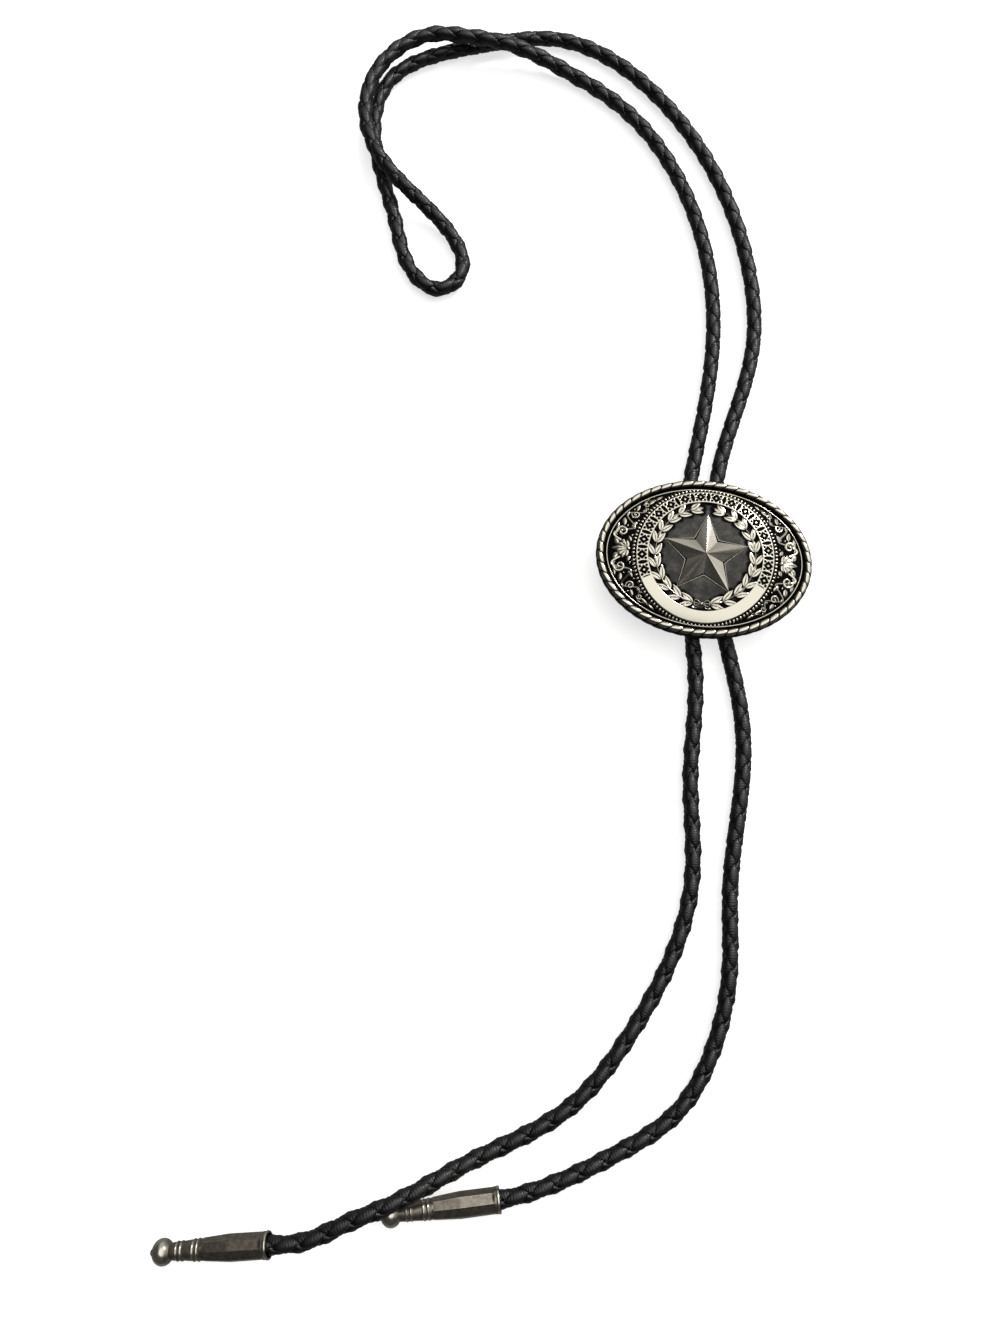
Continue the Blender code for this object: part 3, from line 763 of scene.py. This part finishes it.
class BOLO_OT_band(bpy.types.Operator):
    """Make the polished band with its recessed ornament, and the row of beads round it."""

    bl_idname = "bolo.band"
    bl_label = "Band and beads"

    def execute(self, context):
        """The band is a ring on a grid of rays and radii. Its top is the dome raised a little, less
        the ornament: lozenges with a raised middle, spindles and dots, repeated along the upper
        part of the ring. Each bead is a small stretched ball set on its ray."""
        s = context.scene.bolo_slide
        theta = circle(1560)[:, None]
        share = np.concatenate([[0.0, 0.0, 0.02], np.linspace(0.05, 0.95, 27), [0.98, 1.0, 1.0]])
        low = np.concatenate([[1.0, 0.25, 0.06], np.zeros(27), [0.06, 0.25, 1.0]])
        radius = s.band_outer - (s.band_outer - s.band_inner) * share
        middle = (s.band_outer + s.band_inner) / 2
        way = (np.degrees(theta) - MARKS_FIRST) % 360.0
        span = MARKS_LAST - MARKS_FIRST
        pitch = math.radians(span / MARKS) * middle
        a = np.abs((np.radians(way) * middle) % pitch - pitch / 2) / MM
        b = np.abs(radius - middle) / MM
        lozenge = 1.0 - (a / LOZENGE[0] + b / LOZENGE[1])
        island = 1.0 - (a / ISLAND[0] + b / ISLAND[1])
        spindle = 1.0 - ((pitch / MM / 2 - a) / SPINDLE[0]) ** 2 - (b / SPINDLE[1]) ** 2
        dots = DOT - np.hypot(a - DOT_PLACE[0], b - DOT_PLACE[1])
        field = np.maximum.reduce([np.minimum(lozenge, -island) * 0.7, spindle * 0.25, dots])
        ends = smoothstep(way, 0.5, 1.2) * (1.0 - smoothstep(way, span - 1.2, span - 0.5))
        cut = smoothstep(field, -0.035, 0.055) * ends
        rise = s.band_rise - low * (s.band_rise + 0.0005) - s.mark_depth * cut
        shine = (1.0 - 0.98 * cut) * np.where(low > 0.5, 0.0, 1.0)
        band = ring_part(on_face(s, *polar(radius, theta), rise, dome), shine)
        put_piece("slide_band", [band], silver_finish(s), 40.0)
        lat = np.radians([-40.0, 0.0, 35.0, 65.0])[:, None]
        out = BEAD_ROW + BEAD_LONG * np.cos(lat) * np.cos(circle(8))
        side = BEAD_WIDE * np.cos(lat) * np.sin(circle(8))
        rise = BEAD_LIFT + BEAD_RISE * np.sin(lat)
        beads = []
        for turn in circle(s.beads):
            x = out * math.cos(turn) - side * math.sin(turn)
            y = out * math.sin(turn) + side * math.cos(turn)
            beads.append(closed_part(on_face(s, x, y, rise, dome), shine=1.0))
        put_piece("slide_beads", beads, silver_finish(s), 40.0)
        return {"FINISHED"}


class BOLO_OT_star(bpy.types.Operator):
    """Make the ridged star and the thin line round it."""

    bl_idname = "bolo.star"
    bl_label = "Star"

    def execute(self, context):
        """On each ray the star's edge lies on the straight line from a point to a notch, and the
        surface runs straight from the middle's height down to that edge, so every facet is flat. A
        short wall, a black gap and a thin raised line follow it outside. The shine falls from the
        ridges to the notches, as wear along the ridges and painted shade towards the notches."""
        s = context.scene.bolo_slide
        corner = math.pi / 5
        edges = np.repeat(np.arange(10), 14)
        t = np.tile(np.linspace(0.0, 1.0, 14, endpoint=False), 10)
        rising = edges % 2 == 0
        to_notch = np.where(rising, t, 1.0 - t)
        point = np.array([s.star_reach, 0.0])
        notch = np.array(polar(NOTCH_SHARE * s.star_reach, corner))
        x, y = point[:, None] + (notch - point)[:, None] * to_notch
        edge = np.hypot(x, y)
        swing = np.arctan2(y, x)
        angle = math.pi / 2 + np.where(
            rising, edges * corner + swing, (edges + 1.0) * corner - swing)
        line = edge + LINE_OUT + LINE_MORE * to_notch
        rows = [(line - inside, rise, tone) for inside, rise, tone in LINE_RINGS]
        rows.append((edge + 0.00002, 0.00004, 0.03))
        rings = [on_face(s, *polar(reach, angle), rise) for reach, rise, _ in rows]
        shine = [np.full_like(angle, tone) for _, _, tone in rows]
        floor = float(sunk_field(s, 0.0, 0.0))
        peak = floor + s.star_rise
        rim = sunk_field(s, *polar(edge, angle)) + POINT_RISE + (NOTCH_RISE - POINT_RISE) * to_notch
        for share in (1.0, 0.985, 0.93, 0.84, 0.7, 0.55, 0.4, 0.25, 0.12, 0.03):
            x, y = polar(edge * share, angle)
            rings.append(np.stack([x, y, peak + (rim - peak) * share], axis=1))
            # Painted shade: the shine falls from the ridges towards the notches; the ring at the
            # edge is a little darker.
            shine.append((0.74 if share == 1.0 else 1.0) - 0.34 * smoothstep(to_notch, 0.10, 1.0))
        part = closed_part(np.array(rings), (0.0, 0.0, floor - 0.0003), (0.0, 0.0, peak),
                           shine=np.array(shine))
        put_piece("slide_star", [part], silver_finish(s), 14.0)
        return {"FINISHED"}


class BOLO_OT_wreath(bpy.types.Operator):
    """Make the two laurel sprays with their stems, berries and tied ribbon."""

    bl_idname = "bolo.wreath"
    bl_label = "Laurel wreath"

    def execute(self, context):
        """Leaves stand in pairs along an arc of each side and point up it. The stem is a ridge
        along the arc, and the ribbon is two looped ridges and two tails at the bottom."""
        s = context.scene.bolo_slide
        parts = [leaf_part(s, *row) for row in laurel_leaves(s)]
        for step in range(s.leaf_pairs - 1):
            angle = math.radians(-73.0 + 150.0 * step / (s.leaf_pairs - 1))
            parts += [ball_part(s, *polar(row, angle), size) for row, size in BERRIES]
        x, y = polar(WREATH, np.radians(np.linspace(-87.0, 70.0, 80)))
        thin = np.linspace(0.00020, 0.00010, 80)
        parts.append(tube_along(on_face(s, x, y, 0.00015), thin, thin, shine=0.85))
        t = np.linspace(0.0, 1.0, 26)
        x = 0.0002 + 0.0016 * np.sin(math.pi * t)
        y = -0.0117 + 0.00075 * np.sin(TURN * t) + 0.0002 * t
        parts.append(tube_along(on_face(s, x, y, 0.00022), 0.00019, 0.00026, shine=0.95))
        t = np.linspace(0.0, 1.0, 18)
        x = 0.0002 + 0.0019 * t
        y = -0.0119 - 0.0009 * np.sin(0.75 * math.pi * t)
        wide = np.linspace(0.00013, 0.00024, 18)
        parts.append(tube_along(on_face(s, x, y, 0.00018), wide, 0.0002, shine=0.95))
        parts += [mirrored(part, 0) for part in parts]
        parts.append(ball_part(s, 0.0, -0.0117, 0.00045, squash=0.7))
        put_piece("slide_wreath", parts, silver_finish(s), 40.0)
        return {"FINISHED"}


class BOLO_OT_scrollwork(bpy.types.Operator):
    """Make the scrolls, leaflets and palmettes of the two side fields."""

    bl_idname = "bolo.scrollwork"
    bl_label = "Scrollwork"

    def execute(self, context):
        """Each scroll is a ridge along a spiral whose radius falls steadily as it turns, thick at
        its outer end and closed by a ball in its middle. A waving stem joins them. One quarter is
        worked out and mirrored."""
        s = context.scene.bolo_slide
        parts = []
        t = np.linspace(0.0, 1.0, 44)
        for ray, share, size, start, hand, turns in SCROLLS:
            cx, cy, room = side_point(s, ray, share)
            angle = math.radians(start) + hand * TURN * turns * t
            x, y = polar(size * room * (1.0 - 0.80 * t), angle)
            x, y = cx + x, cy + y
            half = room * (0.092 - 0.045 * t) * (0.35 + 0.65 * smoothstep(t, 0.0, 0.25))
            line = on_face(s, x, y, 0.00012, dome)
            parts.append(tube_along(line, half, 0.00030, 10, shine=1.0))
            parts.append(ball_part(s, x[-1], y[-1], 0.085 * room, dome))
        for ray, share, heading, size, width in LEAFLETS:
            x, y, _ = side_point(s, ray, share)
            aim = math.radians(ray + heading)
            back_x, back_y = polar(size * MM / 2, aim)
            parts.append(leaf_part(
                s, x - back_x, y - back_y, aim, size * MM, width * MM, 0.00034, dome))
        stem = np.linspace(6.0, 47.0, 90)
        swing = np.sin(np.radians((stem - 6.0) * 360.0 / 15.4))
        x, y, _ = side_point(s, stem, 0.52 + 0.40 * swing)
        line = on_face(s, x, y, 0.00008, dome)
        parts.append(tube_along(line, np.linspace(0.00034, 0.00016, 90), 0.00028, shine=1.0))
        for ray, share in SIDE_BALLS:
            parts.append(ball_part(s, *side_point(s, ray, share)[:2], 0.00026, dome))
        parts += [mirrored(part, 1) for part in parts]
        for angle, size, width in PALMETTE:
            aim = math.radians(angle)
            x, y = polar(0.0002, aim)
            parts.append(leaf_part(s, 0.0181 + x, y, aim, size * MM, width * MM, 0.0004, dome))
        parts.append(ball_part(s, 0.0179, 0.0, 0.00055, dome))
        parts += [mirrored(part, 0) for part in parts]
        put_piece("slide_scrollwork", parts, silver_finish(s), 40.0)
        return {"FINISHED"}


# The cord


def smooth_curve(points, spacing):
    """Points at the given spacing on the natural cubic spline through the route's points."""
    route = np.asarray(points, float)
    knots = np.concatenate([[0.0], np.cumsum(np.linalg.norm(np.diff(route, axis=0), axis=1))])
    gaps = np.diff(knots)
    slopes = np.diff(route, axis=0) / gaps[:, None]
    system = np.eye(len(route))
    right = np.zeros_like(route)
    for i in range(1, len(route) - 1):
        system[i, i - 1 : i + 2] = gaps[i - 1], 2.0 * (gaps[i - 1] + gaps[i]), gaps[i]
        right[i] = 6.0 * (slopes[i] - slopes[i - 1])
    bend = np.linalg.solve(system, right)
    at = np.linspace(0.0, knots[-1], int(knots[-1] / spacing) + 1)
    k = np.clip(np.searchsorted(knots, at, side="right") - 1, 0, len(gaps) - 1)
    d = (at - knots[k])[:, None]
    h = gaps[k][:, None]
    linear = slopes[k] - h * (2.0 * bend[k] + bend[k + 1]) / 6.0
    return route[k] + d * linear + d**2 * bend[k] / 2.0 + d**3 * (bend[k + 1] - bend[k]) / (6.0 * h)


def between(at, run, rows):
    """The rows of xyz read at other places along the run, with xyz first."""
    return np.stack([np.interp(at, run, rows[:, axis]) for axis in range(3)])


def cord_frames(settings):
    """Even points along the cord's middle line, with the run, the upward and the sideways direction
    at each. Upwards is the vertical less its part along the cord."""
    line = smooth_curve(np.array(CORD_ROUTE_MM) * MM, CORD_SPACING)
    line[:, 2] = np.maximum(line[:, 2], settings.radius)
    run = np.concatenate([[0.0], np.cumsum(np.linalg.norm(np.diff(line, axis=0), axis=1))])
    even = np.linspace(0.0, run[-1], int(run[-1] / CORD_SPACING) + 1)
    line = between(even, run, line).T
    way = np.gradient(line, axis=0)
    way /= np.linalg.norm(way, axis=1)[:, None]
    up = np.array([0.0, 0.0, 1.0]) - way[:, 2:3] * way
    up /= np.linalg.norm(up, axis=1)[:, None]
    return even, line, up, np.cross(way, up)


def strap_part(settings, frames, hand, start, turned):
    """One strap of the plait. Its middle winds round the cord once in each pitch, right or left.
    Its radius rises and falls by the crossing pattern, half the sum of a cosine along the cord and
    one round it, so that it passes over one strap and under the next. Its section is a rounded
    flat one that lies square to the strap's own direction."""
    run, line, up, side = frames
    pitch, lay = settings.pitch, settings.lay_radius
    lean = math.atan(TURN * lay / pitch)
    half = pitch / 4 * math.sin(lean) * settings.strap_fill
    q = np.radians([0.0, 22.0, 52.0, 90.0, 128.0, 158.0, 180.0, 235.0, 270.0, 305.0])
    u = rounded(np.cos(q), 0.8) * half
    h = rounded(np.sin(q), 0.35) * settings.strap_thickness / 2
    s = np.clip(run[:, None] - hand * u * math.sin(lean), 0.0, run[-1])
    theta = (hand * TURN * run / pitch + start + turned)[:, None] + u * math.cos(lean) / lay
    round_cord = theta - np.interp(s, run, turned) - math.pi / 4
    over = 0.5 * (np.cos(2.0 * TURN * (s - pitch / 8) / pitch) + np.cos(2.0 * round_cord))
    over = hand * rounded(over, 0.55)
    mean = settings.radius - settings.wave - settings.strap_thickness / 2
    radius = mean + settings.wave * over + h - settings.droop * (u / half) ** 2
    x, y = polar(radius, theta)
    rings = between(s, run, line) + x * between(s, run, up) + y * between(s, run, side)
    rings = np.moveaxis(rings, 0, 2)
    rings[:, :, 2] = np.maximum(rings[:, :, 2], 0.0)
    # raised also sets the leather's painted shade where a strap dips under another.
    return closed_part(rings, along=s / MM, across=u / half, raised=over)


class BOLO_OT_cord(bpy.types.Operator):
    """Make the plaited leather cord from one tip to the other."""

    bl_idname = "bolo.cord"
    bl_label = "Plaited cord"

    def execute(self, context):
        """Four straps, two winding each way, over a round core that fills the plait's middle and is
        painted all over in the crease shade.
        """
        s = context.scene.bolo_cord
        frames = cord_frames(s)
        run, line, up, side = frames
        shares, degrees = np.array(PLAIT_TURNS).T
        turned = np.radians(np.interp(run / run[-1], shares, degrees))
        parts = []
        for hand, starts in ((1, (0.0, math.pi)), (-1, (math.pi / 2, 3 * math.pi / 2))):
            parts += [strap_part(s, frames, hand, start, turned) for start in starts]
        x, y = polar(CORE_RADIUS, circle(8))
        every = slice(None, None, 2)
        rings = (line[every, None, :] + x[None, :, None] * up[every, None, :]
                 + y[None, :, None] * side[every, None, :])
        # The core's raised of -1 paints it wholly in the crease shade, a dark filling seen only in
        # the gaps.
        parts.append(closed_part(rings, along=run[every, None] / MM, across=0.0, raised=-1.0))
        piece = put_piece("plaited_cord", parts, leather_finish(s), 75.0, "cord")
        return {"FINISHED"}


# The tips and the clip


def tip_part(settings, mouth_x, mouth_y, height, heading):
    """A tip as rings along its axis, from the socket's floor out over the lip and along the body to
    the neck, the ball and the nub. On the body the round section turns into one of eight flat
    sides, whose reach is that of the flat's middle over the cosine of the angle from it. The ridges
    are narrow bell curves added to the radius."""
    s = settings
    phi = circle(TIP_AROUND)
    sector = TURN / TIP_FLATS
    from_middle = phi % sector - sector / 2
    eight = math.cos(sector / 2) / np.cos(from_middle)
    corner = smoothstep(np.abs(from_middle), sector / 2 * 0.86, sector / 2)

    share = np.concatenate([
        np.linspace(0.0, 0.06, 18, endpoint=False),
        np.linspace(0.06, 0.68, 60, endpoint=False),
        np.linspace(0.68, 1.0, 110),
    ])
    radius = np.interp(share, *np.array(TIP_PROFILE).T)
    tone = np.where(share > 0.70, 0.26, 0.42)
    for middle, rise, half in TIP_RIDGES:
        bell = np.exp(-(((share - middle) / half) ** 2))
        radius = radius + rise * bell
        tone = tone + 0.75 * bell
    flat = (smoothstep(share, 0.045, 0.075) * (1.0 - smoothstep(share, 0.690, 0.706)))[:, None]
    body = s.radius * radius[:, None] * (1.0 + flat * (eight - 1.0))
    body_shine = tone[:, None] + 0.30 * flat * corner

    swing = np.linspace(-math.acos(NECK_RADIUS / s.ball), math.acos(s.nub / s.ball), 40)
    # The ball is worn pale, and a painted highlight brightens the band round its widest part.
    ball_wear_and_highlight = 0.62 + 0.25 * smoothstep(np.cos(swing), 0.80, 1.0)
    end = s.ball_middle + s.ball_half
    station = np.concatenate([
        np.full(6, s.socket), np.linspace(s.socket, 0.0, 12), share * s.body,
        s.ball_middle + s.ball_half * np.sin(swing),
        end + NUB_LENGTH * np.array([0.2, 0.5, 0.8, 0.95, 1.0]),
    ])

    def all_round(*values):
        """Values that are the same all round, as columns."""
        return np.repeat(np.concatenate(values)[:, None], TIP_AROUND, axis=1)

    nub = s.nub * np.array([0.98, 0.95, 0.85, 0.70, 0.45])
    reach = np.concatenate([
        all_round(s.bore * np.linspace(0.15, 1.0, 6), np.full(12, s.bore)), body,
        all_round(s.ball * np.cos(swing), nub),
    ])
    shine = np.concatenate([
        all_round(np.full(18, 0.05)), body_shine, all_round(ball_wear_and_highlight, np.full(5, 0.55))])

    y, z = polar(reach, phi)
    x = np.broadcast_to(station[:, None], reach.shape)
    sin_dip = (height - s.ball) / s.ball_middle
    cos_dip = math.sqrt(1.0 - sin_dip**2)
    out = x * cos_dip + z * sin_dip
    rings = np.stack([
        mouth_x + out * math.cos(heading) - y * math.sin(heading),
        mouth_y + out * math.sin(heading) + y * math.cos(heading),
        height + z * cos_dip - x * sin_dip,
    ], axis=2)
    return closed_part(rings, shine=shine)


class BOLO_OT_tips(bpy.types.Operator):
    """Make the two turned tips."""

    bl_idname = "bolo.tips"
    bl_label = "Turned tips"

    def execute(self, context):
        """Each is worked out along its axis, dipped onto its ball and turned to its heading."""
        s = context.scene.bolo_tips
        for name, stands_for, lie in (("turned_tip_left", "tip_left", TIP_LEFT),
                                      ("turned_tip_right", "tip_right", TIP_RIGHT)):
            put_piece(name, [tip_part(s, *lie)], nickel_finish(s), 32.0, stands_for)
        return {"FINISHED"}


class BOLO_OT_clip(bpy.types.Operator):
    """Give the clip behind the slide its steel finish."""

    bl_idname = "bolo.clip"
    bl_label = "Clip"

    def execute(self, context):
        """The clip keeps its CAD shape and gets a brushed finish in its material slots."""
        finish = steel_finish()
        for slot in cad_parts["cord_clip"].material_slots:
            slot.material = finish
        return {"FINISHED"}


# The stage


def put_floor(context, settings):
    """A square floor just under the tie. It glows, and in reflections and bounced light the sky's
    weaker glow from below stands in for it, so the tie's sides stay dark."""
    half = settings.floor_size / 2
    corners = [(-half, -half, 0.0), (half, -half, 0.0), (half, half, 0.0), (-half, half, 0.0)]
    mesh = bpy.data.meshes.new("floor")
    mesh.from_pydata(corners, [], [(0, 1, 2, 3)])
    material, _, shader = new_finish("pale floor")
    fill(shader, {
        "Base Color": (*settings.floor_colour, 1.0),
        "Roughness": 0.8,
        "Specular IOR Level": 0.2,
        "Emission Color": (1.0, 1.0, 1.0, 1.0),
        "Emission Strength": settings.floor_glow,
    })
    mesh.materials.append(material)
    floor = bpy.data.objects.new("floor", mesh)
    floor.location.z = -0.0002
    floor.visible_glossy = False
    floor.visible_diffuse = False
    context.scene.collection.objects.link(floor)


def put_sky(context, settings):
    """A dim sky with soft round lit parts, each bright up to an angle from its direction and
    fading out to a wider one."""
    world = bpy.data.worlds.new("studio")
    world.use_nodes = True
    tree = world.node_tree
    tree.nodes.clear()
    toward = node(tree, "ShaderNodeTexCoord").outputs["Generated"]
    light = UNLIT_SKY * settings.sky_strength
    for aim, edge, full, strength in LIT_SKY:
        along = node(tree, "ShaderNodeVectorMath", {0: toward, 1: aim}, operation="DOT_PRODUCT")
        lit = spread(tree, along.outputs["Value"], math.cos(math.radians(edge)),
                     math.cos(math.radians(full)), 0.0, strength * settings.sky_strength)
        light = arithmetic(tree, "MAXIMUM", light, lit)
    sky = node(tree, "ShaderNodeBackground", {
        "Color": (*settings.sky_colour, 1.0), "Strength": light,
    })
    node(tree, "ShaderNodeOutputWorld", {"Surface": sky.outputs["Background"]})
    context.scene.world = world


def put_softbox(context, settings):
    """A small softbox on the upper right, aimed at the tie."""
    key = bpy.data.lights.new("softbox", "AREA")
    key.shape = "RECTANGLE"
    key.size, key.size_y = KEY_SIZE
    key.energy = settings.key_power
    lamp = bpy.data.objects.new("softbox", key)
    lamp.location = KEY_PLACE
    x, y, z = np.subtract(KEY_AIM, KEY_PLACE)
    lamp.rotation_euler = (math.atan2(math.hypot(x, y), -z), 0.0, math.atan2(y, x) - math.pi / 2)
    context.scene.collection.objects.link(lamp)


def put_camera(context, settings):
    """The camera looks down from above the cord's lower half."""
    lens = bpy.data.cameras.new("camera")
    lens.lens = settings.focal_length
    lens.sensor_width = 36.0
    lens.clip_start = 0.01
    camera = bpy.data.objects.new("camera", lens)
    camera.location = CAMERA_PLACE
    camera.rotation_euler = [math.radians(angle) for angle in CAMERA_TURN]
    context.scene.collection.objects.link(camera)
    context.scene.camera = camera
    context.scene.view_settings.view_transform = "Standard"


class BOLO_OT_stage(bpy.types.Operator):
    """Make the pale floor, the soft lights and the camera."""

    bl_idname = "bolo.stage"
    bl_label = "Floor, lights and camera"

    def execute(self, context):
        """The soft light comes from overhead, from beyond the neck loop, from the right and weakly
        from below, and one softbox gives the highlights."""
        for put in (put_floor, put_sky, put_softbox, put_camera):
            put(context, context.scene.bolo_stage)
        return {"FINISHED"}


class BOLO_PT_panel(bpy.types.Panel):
    """The tie's operators and settings in the 3D view's sidebar."""

    bl_idname = "BOLO_PT_panel"
    bl_label = "Bolo Tie"
    bl_space_type = "VIEW_3D"
    bl_region_type = "UI"
    bl_category = "Bolo Tie"

    def draw(self, context):
        """A button for each piece, then the settings by group."""
        for operator in OPERATORS:
            self.layout.operator(operator.bl_idname, text=operator.bl_label)
        for name in GROUPS:
            group = getattr(context.scene, name)
            box = self.layout.box()
            for setting in group.__annotations__:
                box.prop(group, setting)


OPERATORS = (
    BOLO_OT_stage, BOLO_OT_tips, BOLO_OT_cord, BOLO_OT_clip, BOLO_OT_plate, BOLO_OT_rope,
    BOLO_OT_band, BOLO_OT_star, BOLO_OT_wreath, BOLO_OT_scrollwork,
)
GROUPS = {
    "bolo_slide": BoloSlideSettings, "bolo_cord": BoloCordSettings, "bolo_tips": BoloTipSettings,
    "bolo_stage": BoloStageSettings,
}


def register():
    """Registers the settings, the operators and the panel."""
    for name, group in GROUPS.items():
        bpy.utils.register_class(group)
        setattr(bpy.types.Scene, name, bpy.props.PointerProperty(type=group))
    for kind in (*OPERATORS, BOLO_PT_panel):
        bpy.utils.register_class(kind)


def unregister():
    """Takes them away again."""
    for kind in reversed((*OPERATORS, BOLO_PT_panel)):
        bpy.utils.unregister_class(kind)
    for name, group in reversed(GROUPS.items()):
        delattr(bpy.types.Scene, name)
        bpy.utils.unregister_class(group)


def main():
    """Makes every piece in order."""
    register()
    bpy.ops.bolo.stage()
    bpy.ops.bolo.tips()
    bpy.ops.bolo.cord()
    bpy.ops.bolo.clip()
    bpy.ops.bolo.plate()
    bpy.ops.bolo.rope()
    bpy.ops.bolo.band()
    bpy.ops.bolo.star()
    bpy.ops.bolo.wreath()
    bpy.ops.bolo.scrollwork()
    bpy.context.view_layer.update()


if __name__ == "__main__":
    main()
